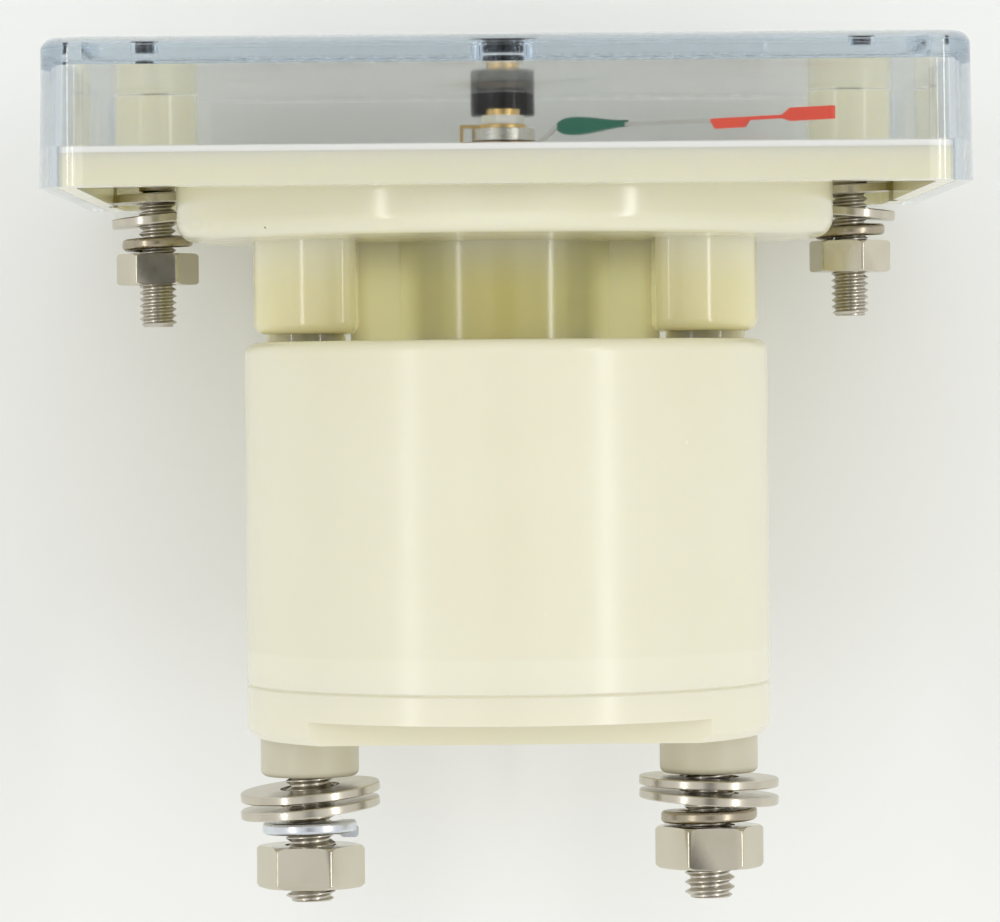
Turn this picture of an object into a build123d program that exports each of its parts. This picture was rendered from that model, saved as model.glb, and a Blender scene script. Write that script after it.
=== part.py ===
from build123d import *
from math import cos, hypot, pi, radians, sin
import os

# Analog panel meter with a clear front cover, seen from its dial side along +Y.
# X runs to the viewer's right, Z up and Y rearwards. The origin is the centre of the round
# boss on the panel plane, which is the rear edge of the cover's rim. Sizes are in millimetres.

# Clear front cover
cover_width = 64.4
cover_height = 56.0
cover_depth = 10.3
cover_draft = 1.0
cover_corner = 3.2
cover_front_wall = 1.9
cover_side_wall = 1.55
cover_rim_wall = 1.2
cover_edge_radius = 0.9

# Cream base housing
flange_gap = 0.1
flange_depth = 2.35
flange_rim = 1.2
recess_depth = 1.5
recess_corner = 1.2
relief_radius = 3.75
post_radius = 3.15
post_gap = 0.05
boss_to_stud = 6.85
boss_height = 3.2
boss_wall = 1.5
boss_edge_radius = 1.4
neck_wall = 1.2
well_radius = 8.2
well_floor = 1.3
well_rib_width = 4.0
well_rib_depth = 0.2
tower_width = 7.6
tower_top = 6.2
tower_bottom = -7.0
tower_outer_radius = 5.7
tower_inner_radius = 1.5
tower_length = 6.8
tower_end_radius = 0.8
tower_floor = 1.5
pocket_corner = 0.3
web_top = -4.5
web_height = 4.0
collar_radius = 2.9
spigot_radius = 7.0
spigot_length = 1.4
spigot_gap = 0.15

# Cream rear cap and end plate
cap_radius = 19.2
cap_start = 10.6
cap_length = 25.1
cap_wall = 1.5
cap_edge_radius = 0.9
plate_thickness = 3.8
plate_step = 1.7
plate_bevel = 0.6
plate_chord = 12.7
plate_rim_length = 1.8
plate_rim_wall = 1.3
plate_gap = 0.1
seam_bevel = 0.15

# Mounting studs and what is on them
stud_inset_x = 5.7
stud_inset_z = 12.0
stud_radius = 1.4
stud_tip_radius = 1.0
stud_front_right = -10.0
stud_front_left = -9.8
stud_end_right = 9.2
stud_end_left = 8.8
stud_hole_gap = 0.2
thread_play = 0.02
nut_play = 0.05
m3_washer_radius = 3.5
m3_washer_bore = 1.65
m3_washer_thickness = 0.5
m3_spring_radius = 2.7
m3_spring_thickness = 0.85
m3_spring_rise = 0.6
m3_nut_corner = 3.17
m3_nut_height = 2.4
left_inner_washer = 0.5
left_outer_washer = 2.4
left_spring_washer = 3.77
left_nut_face = 6.95
right_inner_washer = 1.0
right_outer_washer = 2.5
right_spring_washer = 4.35
right_nut_face = 7.5

# Terminals and what is on them
terminal_inset = 4.5
terminal_radius = 1.85
terminal_reach = 9.2
terminal_head_radius = 2.4
terminal_head_thickness = 2.0
tag_thickness = 0.5
tag_radius = 2.45
tag_tail_width = 1.6
tag_tail_inset = 1.4
tag_tail_z = -5.1
tag_clearance = 0.3
bush_radius = 3.62
bush_height = 3.0
bush_edge_radius = 0.5
bush_sleeve = 0.85
bush_gap = 0.05
m4_washer_radius = 5.15
m4_washer_bore = 2.2
m4_washer_thickness = 0.65
m4_spring_radius = 3.55
m4_spring_thickness = 0.9
m4_spring_rise = 0.5
m4_nut_corner = 4.05
m4_nut_height = 3.1
left_inner_terminal_washer = 0.65
left_outer_terminal_washer = 1.8
left_terminal_spring = 3.15
left_terminal_nut_face = 7.0
right_inner_terminal_washer = 1.15
right_outer_terminal_washer = 2.35
right_terminal_spring = 3.9
right_terminal_nut_face = 8.2
washer_rest_gap = 0.1
washer_edge = 0.08
spring_split = 0.97
spring_corner = 0.3
thread_chamfer = 0.35

# Dial
dial_thickness = 0.45
dial_gap = 0.05
dial_side_gap = 0.2
dial_hole_gap = 0.3
dial_opening_radius = 3.4
dial_slot_reach = 8.8
dial_screw_inset = 1.4
dial_screw_z = -4.0
dial_post_radius = 2.0
small_screw_radius = 0.8
small_head_radius = 1.6
small_head_height = 0.6
small_screw_length = 3.0
slot_width = 0.35
slot_depth = 0.3
small_head_bevel = 0.12
frame_head_height = 0.4

# Zero adjuster in the front wall
adjuster_drop = 6.2
adjuster_head_radius = 2.3
adjuster_head_height = 0.5
adjuster_shank_radius = 1.9
adjuster_gap = 0.08
adjuster_recess = 0.1
adjuster_slot_width = 0.8
adjuster_slot_depth = 0.3
adjuster_bevel = 0.15
cam_radius = 2.45
cam_recess = 0.8
cam_height = 2.5
cam_edge_radius = 0.2
cam_pin_radius = 0.4
cam_throw = 0.6
cam_pin_length = 1.12

# Movement, on the pivot axis
core_radius = 4.2
core_bevel = 0.2
core_front = -0.6
core_length = 6.0
yoke_inner_radius = 5.9
yoke_outer_radius = 8.1
coil_inner_radius = 4.45
coil_bar = 0.35
coil_winding = 0.7
coil_width = 2.4
winding_inset = 0.25
coil_corner = 0.5
coil_end_gap = 0.3
spacer_half_width = 1.95
spacer_inset = 0.4
frame_thickness = 1.2
frame_inner_radius = 6.4
frame_ear_reach = 2.5
frame_ear_radius = 1.9
staff_radius = 0.45
needle_radius = 0.18
staff_disc_radius = 1.4
staff_disc_thickness = 0.3
needle_length = 0.35
needle_depth = 0.28
needle_point = 0.04
bridge_front = -5.4
bridge_thickness = 0.9
bridge_width = 4.8
bridge_edge_radius = 0.4
bridge_leg_inner = 6.45
bridge_leg_outer = 8.0
rear_bridge_gap = 1.1
rear_bridge_thickness = 0.8
rear_bridge_width = 3.0
rear_bridge_inset = 0.1
anchor_thickness = 0.3
anchor_width = 0.8
jewel_screw_radius = 0.9
jewel_head_radius = 1.25
jewel_head_height = 0.45
jewel_cup_radius = 0.35
jewel_cup_depth = 0.4
jewel_cup_taper = 30.0
rear_jewel_reach = 0.3
lock_nut_corner = 1.62
lock_nut_height = 0.65
lever_thickness = 0.25
lever_ring_radius = 1.75
lever_play = 0.06
fork_slot_gap = 0.12
fork_wall = 0.35
fork_slot_in = 0.9
fork_slot_out = 2.7
fork_tip = 1.0
lever_tail_width = 0.7
spring_anchor_gap = 0.02
hub_radius = 1.0
hub_length = 0.5
hub_fit = 0.01
hub_front = -3.75
arm_width = 0.5
arm_thickness = 0.35
tail_length = 5.8
tail_weight_length = 2.2
tail_weight_width = 3.2
tail_weight_height = 0.95
side_arm_length = 4.4
weight_length = 1.1
weight_width = 1.1
hairspring_inner = 0.75
hairspring_pitch = 0.55
hairspring_turns = 4
hairspring_width = 0.3
hairspring_thickness = 0.1
hairspring_clear = 0.2
rear_spring_clear = 0.1

# Pointer, from the hub outwards; its red end is measured back from the tip
pointer_angle = 45.0
pointer_length = 33.0
blade_length = 4.8
neck_length = 3.8
red_length = 3.0
pointer_thickness = 0.35
pointer_rod = 0.3
crank_start = 2.8
crank_end = 5.6
pointer_forward = 1.75
leaf_start = 5.9
leaf_end = 12.7
leaf_height = 1.2
leaf_belly = 1.2
leaf_tip = 0.5
leaf_thickness = 0.55
red_height = 0.75
red_slope = 0.3
neck_slope = 0.5
neck_height = 0.25
blade_slope = 0.8
blade_height = 0.95

# Places across X and Z worked out from the sizes above
stud_x = cover_width / 2 - stud_inset_x
stud_z = stud_inset_z - cover_height / 2
boss_radius = hypot(stud_x, stud_z) - boss_to_stud
dial_screw_x = boss_radius - boss_wall - dial_post_radius - dial_screw_inset
terminal_x = cap_radius - terminal_inset
tower_inner_x = terminal_x - tower_width / 2
pivot_z = well_radius + neck_wall - cap_radius
frame_ear_x = yoke_outer_radius + frame_ear_reach
neck_end = pointer_length - blade_length
neck_start = neck_end - neck_length
red_start = neck_start - red_length

# Stations along Y worked out from the sizes above
window_back = -cover_depth + cover_front_wall
flange_front = -flange_depth
post_front = window_back + post_gap
dial_front = flange_front - dial_thickness
cover_step = dial_front - dial_gap
recess_floor = -recess_depth
boss_floor = boss_height - boss_wall
tower_end = boss_height + tower_length
tower_inside = tower_end - tower_floor
well_bottom = cap_start - well_floor
cap_end = cap_start + cap_length
plate_end = cap_end + plate_thickness
bush_end = plate_end + bush_height
terminal_end = bush_end + terminal_reach
tag_reach = tower_inside - boss_floor - tag_clearance
core_end = core_front + core_length
coil_front = core_front - coil_end_gap - coil_bar
coil_rear = core_end + coil_end_gap + coil_bar
coil_outer_radius = coil_inner_radius + coil_bar + coil_winding
frame_front = core_front - frame_thickness
adjuster_z = pivot_z - adjuster_drop
rear_bridge_front = coil_rear + coil_winding + rear_bridge_gap
adjuster_front = -cover_depth + adjuster_recess
cam_front = window_back - cam_recess + adjuster_gap
cam_end = cam_front + cam_height
spring_outer = hairspring_inner + hairspring_turns * hairspring_pitch
collet_radius = hairspring_inner - hairspring_thickness / 2 - spring_anchor_gap
anchor_face = spring_outer + hairspring_thickness / 2 + spring_anchor_gap
front_spring_y = bridge_front + bridge_thickness + hairspring_clear + hairspring_width / 2


def facing_front(y):
    """The plane at Y = y whose sketches are seen from the dial side."""
    return Plane.XZ.offset(-y)


def across(x, y, z, turn=0.0, lean=0.0):
    """A plane across Y, turned about Z and leaned about X, for a piece that sits askew."""
    t, u = radians(turn), radians(lean)
    return Plane(
        origin=(x, y, z),
        x_dir=(cos(t), sin(t), 0),
        z_dir=(sin(t) * cos(u), -cos(t) * cos(u), sin(u)),
    )


def save(piece, name):
    """Label a finished piece and write it."""
    piece.label = name
    export_step(piece, f"parts/{name}.step")


os.makedirs("parts", exist_ok=True)

# Clear front cover: a drafted shell with a step inside its rim for dial and flange, and
# in its front wall two blind holes for the studs' tips, the cam's recess and the
# adjuster's hole
cavity_width = cover_width - 2 * cover_side_wall
cavity_height = cover_height - 2 * cover_side_wall
seat_width = cover_width - 2 * cover_rim_wall
seat_height = cover_height - 2 * cover_rim_wall
stud_spots = [(-stud_x, stud_z), (stud_x, stud_z)]
with BuildPart() as front_cover:
    with BuildSketch(facing_front(0)):
        RectangleRounded(cover_width, cover_height, cover_corner)
    extrude(amount=cover_depth, taper=cover_draft)
    fillet(front_cover.edges().group_by(Axis.Y)[0], cover_edge_radius)
    with BuildSketch(facing_front(cover_step)):
        RectangleRounded(cavity_width, cavity_height, cover_corner - cover_side_wall)
    extrude(amount=cover_step - window_back, taper=cover_draft, mode=Mode.SUBTRACT)
    with BuildSketch(facing_front(0)):
        RectangleRounded(seat_width, seat_height, cover_corner - cover_rim_wall)
    extrude(amount=-cover_step, mode=Mode.SUBTRACT)
    for side, front in ((-1, stud_front_left), (1, stud_front_right)):
        with BuildSketch(facing_front(window_back)):
            with Locations((side * stud_x, stud_z)):
                Circle(stud_tip_radius + thread_play)
        extrude(amount=window_back - front + post_gap, mode=Mode.SUBTRACT)
    with BuildSketch(facing_front(window_back)):
        with Locations((0, adjuster_z)):
            Circle(cam_radius + adjuster_gap)
    extrude(amount=cam_recess, mode=Mode.SUBTRACT)
    with BuildSketch(facing_front(window_back)):
        with Locations((0, adjuster_z)):
            Circle(adjuster_shank_radius + adjuster_gap)
    extrude(amount=cover_front_wall, mode=Mode.SUBTRACT)
    with BuildSketch(facing_front(adjuster_front + adjuster_head_height + adjuster_gap)):
        with Locations((0, adjuster_z)):
            Circle(adjuster_head_radius + adjuster_gap)
    extrude(amount=cover_front_wall, mode=Mode.SUBTRACT)
save(front_cover.part, "front_cover")

# Zero adjuster: a slotted head flush in the front wall, its shank and the cam behind it
with BuildPart() as zero_adjuster:
    with BuildSketch(facing_front(adjuster_front + adjuster_head_height)):
        with Locations((0, adjuster_z)):
            Circle(adjuster_head_radius)
    extrude(amount=adjuster_head_height)
    chamfer(zero_adjuster.edges().group_by(Axis.Y)[0], adjuster_bevel)
    with BuildSketch(facing_front(cam_front)):
        with Locations((0, adjuster_z)):
            Circle(adjuster_shank_radius)
    extrude(amount=cam_front - adjuster_front - adjuster_head_height)
    with BuildSketch(facing_front(adjuster_front + adjuster_slot_depth)):
        with Locations((0, adjuster_z)):
            Rectangle(3 * adjuster_head_radius, adjuster_slot_width)
    extrude(amount=adjuster_slot_depth, mode=Mode.SUBTRACT)
save(zero_adjuster.part, "zero_adjuster")

with BuildPart() as adjuster_cam:
    with BuildSketch(facing_front(cam_end)):
        with Locations((0, adjuster_z)):
            Circle(cam_radius)
    extrude(amount=cam_height)
    fillet(adjuster_cam.edges().group_by(Axis.Y)[-1], cam_edge_radius)
    with BuildSketch(facing_front(cam_end + cam_pin_length)):
        with Locations((0, adjuster_z + cam_throw)):
            Circle(cam_pin_radius)
    extrude(amount=cam_pin_length)
save(adjuster_cam.part, "adjuster_cam")

# Dial plate: held between the cover's step and the flange, with holes for the studs,
# the dial screws and the movement's front bridge
with BuildPart() as dial_plate:
    with BuildSketch(facing_front(flange_front)):
        RectangleRounded(seat_width - 2 * dial_side_gap, seat_height - 2 * dial_side_gap,
                         cover_corner - cover_rim_wall - dial_side_gap)
        with Locations(stud_spots):
            Circle(post_radius + dial_hole_gap, mode=Mode.SUBTRACT)
        with Locations((-dial_screw_x, dial_screw_z), (dial_screw_x, dial_screw_z)):
            Circle(small_screw_radius + thread_play, mode=Mode.SUBTRACT)
        with Locations((0, pivot_z)):
            Circle(dial_opening_radius, mode=Mode.SUBTRACT)
        with Locations((0, pivot_z - dial_slot_reach / 2)):
            Rectangle(2 * dial_opening_radius, dial_slot_reach, mode=Mode.SUBTRACT)
    extrude(amount=dial_thickness)
save(dial_plate.part, "dial_plate")


def tower_outline(inset):
    """Add one tower's outline, on the +X side, drawn in by an inset, to the open sketch."""
    with BuildSketch(mode=Mode.PRIVATE) as outline:
        middle = tower_inner_x + tower_width / 2
        with Locations((middle, (tower_top + tower_bottom) / 2)):
            Rectangle(tower_width - 2 * inset, tower_top - tower_bottom - 2 * inset)
        outer = outline.vertices().group_by(Axis.X)[-1]
        fillet(outer, tower_outer_radius - inset)
        inner = outline.vertices().group_by(Axis.X)[0]
        fillet(inner, max(tower_inner_radius - inset, pocket_corner))
    add(outline.sketch)
    mirror(outline.sketch, about=Plane.YZ)


# Base housing: flange tray, a post for each mounting stud, round boss, neck with the
# movement's well and two towers
flange_width = seat_width - 2 * flange_gap
flange_height = seat_height - 2 * flange_gap
flange_corner = cover_corner - cover_rim_wall - flange_gap
terminal_spots = [(-terminal_x, 0), (terminal_x, 0)]
dial_screw_spots = [(-dial_screw_x, dial_screw_z), (dial_screw_x, dial_screw_z)]
frame_screw_spots = [(-frame_ear_x, pivot_z), (frame_ear_x, pivot_z)]
with BuildPart() as base_housing:
    with BuildSketch(facing_front(0)):
        RectangleRounded(flange_width, flange_height, flange_corner)
    extrude(amount=flange_depth)
    with BuildSketch(facing_front(0)):
        RectangleRounded(flange_width - 2 * flange_rim, flange_height - 2 * flange_rim,
                         recess_corner)
        with Locations(stud_spots):
            Circle(relief_radius)
    extrude(amount=recess_depth, mode=Mode.SUBTRACT)
    with BuildSketch(facing_front(flange_front)):
        with Locations(stud_spots):
            Circle(post_radius)
    extrude(amount=flange_front - post_front)
    with BuildSketch(facing_front(boss_height)):
        Circle(boss_radius)
    extrude(amount=boss_height - recess_floor)
    fillet(base_housing.faces().sort_by(Axis.Y)[-1].edges(), boss_edge_radius)
    with BuildSketch(facing_front(tower_end)):
        tower_outline(0)
    extrude(amount=tower_end - boss_floor)
    fillet(base_housing.faces().group_by(Axis.Y)[-1].edges(), tower_end_radius)
    with BuildSketch(facing_front(cap_start)):
        with Locations((0, pivot_z)):
            Circle(well_radius + neck_wall)
    extrude(amount=cap_start - boss_floor)
    with BuildSketch(facing_front(cap_start)):
        with Locations((0, web_top - web_height / 2)):
            Rectangle(2 * tower_inner_x + neck_wall, web_height)
    extrude(amount=cap_start - boss_floor)
    with BuildSketch(facing_front(cap_start)):
        with Locations(terminal_spots):
            Circle(collar_radius)
    extrude(amount=cap_start - tower_end)
    with BuildSketch(facing_front(cap_start + spigot_length)):
        with Locations((0, pivot_z)):
            Circle(spigot_radius)
    extrude(amount=spigot_length)
    with BuildSketch(facing_front(boss_floor)):
        Circle(boss_radius - boss_wall)
    extrude(amount=boss_floor - flange_front, mode=Mode.SUBTRACT)
    with BuildSketch(facing_front(well_bottom)):
        with Locations((0, pivot_z)):
            Circle(well_radius)
    extrude(amount=well_bottom - boss_floor, mode=Mode.SUBTRACT)
    with BuildSketch(facing_front(well_bottom)):
        for side in (-1, 1):
            with Locations((side * (well_radius + (neck_wall - well_rib_depth) / 2), pivot_z)):
                Rectangle(neck_wall + well_rib_depth, well_rib_width)
    extrude(amount=well_bottom - core_end)
    with BuildSketch(facing_front(tower_inside)):
        tower_outline(neck_wall)
    extrude(amount=tower_inside - boss_floor, mode=Mode.SUBTRACT)
    with BuildSketch(facing_front(boss_floor)):
        with Locations(frame_screw_spots):
            Circle(frame_ear_radius)
    extrude(amount=boss_floor - core_front)
    with BuildSketch(facing_front(boss_floor)):
        with Locations(dial_screw_spots):
            Circle(dial_post_radius)
    extrude(amount=boss_floor - flange_front)
    with BuildSketch(facing_front(cap_start)):
        with Locations(terminal_spots):
            Circle(terminal_radius + stud_hole_gap)
    extrude(amount=cap_start - tower_inside, mode=Mode.SUBTRACT)
    with BuildSketch(facing_front(0)):
        with Locations(stud_spots):
            Circle(stud_radius + thread_play)
    extrude(amount=-post_front, mode=Mode.SUBTRACT)
    with BuildSketch(facing_front(flange_front)):
        with Locations(dial_screw_spots):
            Circle(small_screw_radius + thread_play)
    extrude(amount=-(small_screw_length - dial_thickness + dial_gap), mode=Mode.SUBTRACT)
    with BuildSketch(facing_front(core_front)):
        with Locations(frame_screw_spots):
            Circle(small_screw_radius + thread_play)
    extrude(amount=-(small_screw_length - frame_thickness + dial_gap), mode=Mode.SUBTRACT)
save(base_housing.part, "base_housing")

# Rear cap: a round can with a front wall, closed by the end plate
with BuildPart() as rear_cap:
    with BuildSketch(facing_front(cap_end)):
        Circle(cap_radius)
    extrude(amount=cap_length)
    fillet(rear_cap.edges().group_by(Axis.Y)[0], cap_edge_radius)
    chamfer(rear_cap.edges().group_by(Axis.Y)[-1], seam_bevel)
    with BuildSketch(facing_front(cap_end)):
        Circle(cap_radius - cap_wall)
    extrude(amount=cap_length - cap_wall, mode=Mode.SUBTRACT)
    with BuildSketch(facing_front(cap_start + cap_wall)):
        with Locations(terminal_spots):
            Circle(terminal_radius + stud_hole_gap)
        with Locations((0, pivot_z)):
            Circle(spigot_radius + spigot_gap)
    extrude(amount=cap_wall, mode=Mode.SUBTRACT)
save(rear_cap.part, "rear_cap")

# End plate: bevelled disc whose rear half steps down outside two chords, with a rim
# that centres it in the cap
with BuildPart() as rear_end_plate:
    with BuildSketch(facing_front(plate_end)):
        Circle(cap_radius)
    extrude(amount=plate_thickness)
    chamfer(rear_end_plate.edges().group_by(Axis.Y)[-1], plate_bevel)
    chamfer(rear_end_plate.edges().group_by(Axis.Y)[0], seam_bevel)
    with BuildSketch(facing_front(plate_end)):
        with Locations((0, cap_radius), (0, -cap_radius)):
            Rectangle(2 * cap_radius, 2 * (cap_radius - plate_chord))
    extrude(amount=plate_step, mode=Mode.SUBTRACT)
    with BuildSketch(facing_front(cap_end)):
        Circle(cap_radius - cap_wall - plate_gap)
        Circle(cap_radius - cap_wall - plate_gap - plate_rim_wall, mode=Mode.SUBTRACT)
        with Locations(terminal_spots):
            Circle(terminal_radius + bush_sleeve + plate_gap, mode=Mode.SUBTRACT)
    extrude(amount=plate_rim_length)
    with BuildSketch(facing_front(plate_end)):
        with Locations(terminal_spots):
            Circle(terminal_radius + bush_sleeve + bush_gap)
    extrude(amount=plate_thickness, mode=Mode.SUBTRACT)
save(rear_end_plate.part, "rear_end_plate")


def terminal_bush(name, x):
    """An insulating bush: its head on the end plate and its sleeve through the plate."""
    with BuildPart() as bush:
        with BuildSketch(facing_front(bush_end)):
            with Locations((x, 0)):
                Circle(bush_radius)
        extrude(amount=bush_height)
        fillet(bush.edges().group_by(Axis.Y)[-1], bush_edge_radius)
        with BuildSketch(facing_front(plate_end)):
            with Locations((x, 0)):
                Circle(terminal_radius + bush_sleeve)
        extrude(amount=plate_thickness)
        with BuildSketch(facing_front(bush_end)):
            with Locations((x, 0)):
                Circle(terminal_radius + bush_gap)
        extrude(amount=bush_height + plate_thickness, mode=Mode.SUBTRACT)
    save(bush.part, name)


def terminal_stud(name, x):
    """A terminal stud from its flat head in the tower to its free threaded end."""
    with BuildPart() as stud:
        with BuildSketch(facing_front(terminal_end)):
            with Locations((x, 0)):
                Circle(terminal_radius)
        extrude(amount=terminal_end - tower_inside + tag_thickness)
        chamfer(stud.edges().group_by(Axis.Y)[-1], thread_chamfer)
        with BuildSketch(facing_front(tower_inside - tag_thickness)):
            with Locations((x, 0)):
                Circle(terminal_head_radius)
        extrude(amount=terminal_head_thickness)
        fillet(stud.edges().group_by(Axis.Y)[0], terminal_head_radius / 4)
    save(stud.part, name)


def terminal_tag(name, x):
    """A solder tag under the stud's head, with its tail bent forwards."""
    tail_x = x - tag_tail_inset if x > 0 else x + tag_tail_inset
    with BuildPart() as tag:
        with BuildSketch(facing_front(tower_inside)):
            with Locations((x, 0)):
                Circle(tag_radius)
            with Locations((tail_x, tag_tail_z / 2)):
                Rectangle(tag_tail_width, -tag_tail_z)
            with Locations((x, 0)):
                Circle(terminal_radius + thread_play, mode=Mode.SUBTRACT)
        extrude(amount=tag_thickness)
        with BuildSketch(facing_front(tower_inside)):
            with Locations((tail_x, tag_tail_z)):
                Rectangle(tag_tail_width, tag_thickness)
        extrude(amount=tag_reach)
    save(tag.part, name)


for side, x in (("left", -terminal_x), ("right", terminal_x)):
    terminal_bush(f"terminal_bush_{side}", x)
    terminal_stud(f"terminal_stud_{side}", x)
    terminal_tag(f"terminal_tag_{side}", x)


def mounting_stud(name, x, front, end):
    """A threaded rod with chamfered ends and a thinner tip for the cover's front wall."""
    with BuildPart() as stud:
        with BuildSketch(facing_front(end)):
            with Locations((x, stud_z)):
                Circle(stud_radius)
        extrude(amount=end - post_front)
        chamfer(stud.edges().filter_by(GeomType.CIRCLE), thread_chamfer)
        with BuildSketch(facing_front(post_front)):
            with Locations((x, stud_z)):
                Circle(stud_tip_radius)
        extrude(amount=post_front - front)
    save(stud.part, name)


def flat_washer(name, plane, outer, bore, thickness):
    """A blanked washer on its own plane."""
    with BuildPart() as washer:
        with BuildSketch(plane):
            Circle(outer)
            Circle(bore, mode=Mode.SUBTRACT)
        extrude(amount=thickness / 2, both=True)
        rims = washer.edges().filter_by(GeomType.CIRCLE).sort_by(SortBy.RADIUS)[-2:]
        chamfer(rims, washer_edge)
    save(washer.part, name)


def spring_washer(name, x, y, z, outer, bore, thickness, rise, split_turn):
    """A split spring washer: a rounded section swept along most of one helix turn."""
    width = outer - bore
    with BuildPart() as ring:
        with BuildLine():
            turn = Helix(pitch=rise, height=rise * spring_split, radius=bore + width / 2,
                         center=(x, y - rise / 2, z), direction=(0, 1, 0))
        with BuildSketch(Plane(origin=turn @ 0, x_dir=(0, 1, 0), z_dir=turn % 0)):
            RectangleRounded(thickness, width, spring_corner)
        sweep(path=turn, is_frenet=True)
    save(ring.part.rotate(Axis((x, 0, z), (0, 1, 0)), split_turn), name)


def hex_nut(name, x, z, end, height, corner, bore, turn):
    """A hexagon nut with both faces chamfered round its corners."""
    flat = corner * cos(pi / 6)
    bevel = (corner - flat * 0.96) * 0.577
    with BuildPart() as nut:
        with BuildSketch(facing_front(end)):
            with Locations((x, z)):
                RegularPolygon(corner, 6, rotation=turn)
        extrude(amount=height)
        with BuildSketch(Plane.XY.offset(z)):
            with BuildLine():
                Polyline((x, end), (x + flat * 0.96, end), (x + corner, end - bevel),
                         (x + corner, end - height + bevel), (x + flat * 0.96, end - height),
                         (x, end - height), close=True)
            make_face()
        revolve(axis=Axis((x, 0, z), (0, 1, 0)), mode=Mode.INTERSECT)
        with BuildSketch(facing_front(end)):
            with Locations((x, z)):
                Circle(bore)
        extrude(amount=height, mode=Mode.SUBTRACT)
    save(nut.part, name)


# Mounting hardware, seated on the recess floor. Each row: side, X, stud ends, then for each
# loose washer its place, turn and lean, for the spring washer its place and where its
# split lies, and for the nut its face and turn
m3_drop = m3_washer_bore - stud_radius - washer_rest_gap
mounting_rows = (
    ("left", -stud_x, stud_front_left, stud_end_left,
     (left_inner_washer, 2.5, 1.0), (left_outer_washer, -5.0, 0.0),
     (left_spring_washer, 150.0), (left_nut_face, 45.0)),
    ("right", stud_x, stud_front_right, stud_end_right,
     (right_inner_washer, 1.5, 0.0), (right_outer_washer, 6.0, 0.0),
     (right_spring_washer, 210.0), (right_nut_face, 1.0)),
)
for side, x, front, end, inner, outer, spring, nut in mounting_rows:
    mounting_stud(f"mounting_stud_{side}", x, front, end)
    for which, (place, turn, lean) in (("inner", inner), ("outer", outer)):
        flat_washer(f"mounting_washer_{which}_{side}",
                    across(x, recess_floor + place, stud_z - m3_drop, turn, lean),
                    m3_washer_radius, m3_washer_bore, m3_washer_thickness)
    spring_washer(f"mounting_spring_washer_{side}", x, recess_floor + spring[0],
                  stud_z - m3_drop, m3_spring_radius, m3_washer_bore, m3_spring_thickness,
                  m3_spring_rise, spring[1])
    hex_nut(f"mounting_nut_{side}", x, stud_z, recess_floor + nut[0], m3_nut_height,
            m3_nut_corner, stud_radius + nut_play, nut[1])

# Terminal hardware, seated on the bushes, in rows of the same kind
m4_drop = m4_washer_bore - terminal_radius - washer_rest_gap
terminal_rows = (
    ("left", -terminal_x, (left_inner_terminal_washer, -1.5, 0.5),
     (left_outer_terminal_washer, -3.5, 0.5), (left_terminal_spring, 170.0),
     (left_terminal_nut_face, 5.0)),
    ("right", terminal_x, (right_inner_terminal_washer, 5.0, 3.0),
     (right_outer_terminal_washer, 6.0, 1.5), (right_terminal_spring, 285.0),
     (right_terminal_nut_face, 53.5)),
)
for side, x, inner, outer, spring, nut in terminal_rows:
    for which, (place, turn, lean) in (("inner", inner), ("outer", outer)):
        flat_washer(f"terminal_washer_{which}_{side}",
                    across(x, bush_end + place, -m4_drop, turn, lean),
                    m4_washer_radius, m4_washer_bore, m4_washer_thickness)
    spring_washer(f"terminal_spring_washer_{side}", x, bush_end + spring[0], -m4_drop,
                  m4_spring_radius, m4_washer_bore, m4_spring_thickness, m4_spring_rise,
                  spring[1])
    hex_nut(f"terminal_nut_{side}", x, 0, bush_end + nut[0], m4_nut_height, m4_nut_corner,
            terminal_radius + nut_play, nut[1])


def slotted_screw(name, x, z, seat, shank, head, head_height, length, turn):
    """A small cheese-head screw whose head sits on Y = seat and whose slot is turned."""
    with BuildPart() as screw:
        with BuildSketch(facing_front(seat + length)):
            with Locations((x, z)):
                Circle(shank)
        extrude(amount=length)
        with BuildSketch(facing_front(seat)):
            with Locations((x, z)):
                Circle(head)
        extrude(amount=head_height)
        chamfer(screw.edges().group_by(Axis.Y)[0], small_head_bevel)
        with BuildSketch(facing_front(seat - head_height + slot_depth)):
            with Locations((x, z)):
                Rectangle(3 * head, slot_width, rotation=turn)
        extrude(amount=slot_depth, mode=Mode.SUBTRACT)
    save(screw.part, name)


# Two screws hold the dial and two the movement; each row has their slots' turns
for side, sign, dial_turn, frame_turn in (("left", -1, 35.0, 75.0),
                                          ("right", 1, 80.0, 120.0)):
    slotted_screw(f"dial_screw_{side}", sign * dial_screw_x, dial_screw_z, dial_front,
                  small_screw_radius, small_head_radius, small_head_height,
                  small_screw_length, dial_turn)
    slotted_screw(f"frame_screw_{side}", sign * frame_ear_x, pivot_z, frame_front,
                  small_screw_radius, small_head_radius, frame_head_height,
                  small_screw_length, frame_turn)

# Magnet: a round core, a soft iron yoke round it and two spacers that hold the core
with BuildPart() as core_magnet:
    with BuildSketch(facing_front(core_end)):
        with Locations((0, pivot_z)):
            Circle(core_radius)
    extrude(amount=core_length)
    chamfer(core_magnet.edges().filter_by(GeomType.CIRCLE), core_bevel)
save(core_magnet.part, "core_magnet")

with BuildPart() as yoke_ring:
    with BuildSketch(facing_front(core_end)):
        with Locations((0, pivot_z)):
            Circle(yoke_outer_radius)
            Circle(yoke_inner_radius, mode=Mode.SUBTRACT)
    extrude(amount=core_length)
save(yoke_ring.part, "yoke_ring")

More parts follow.
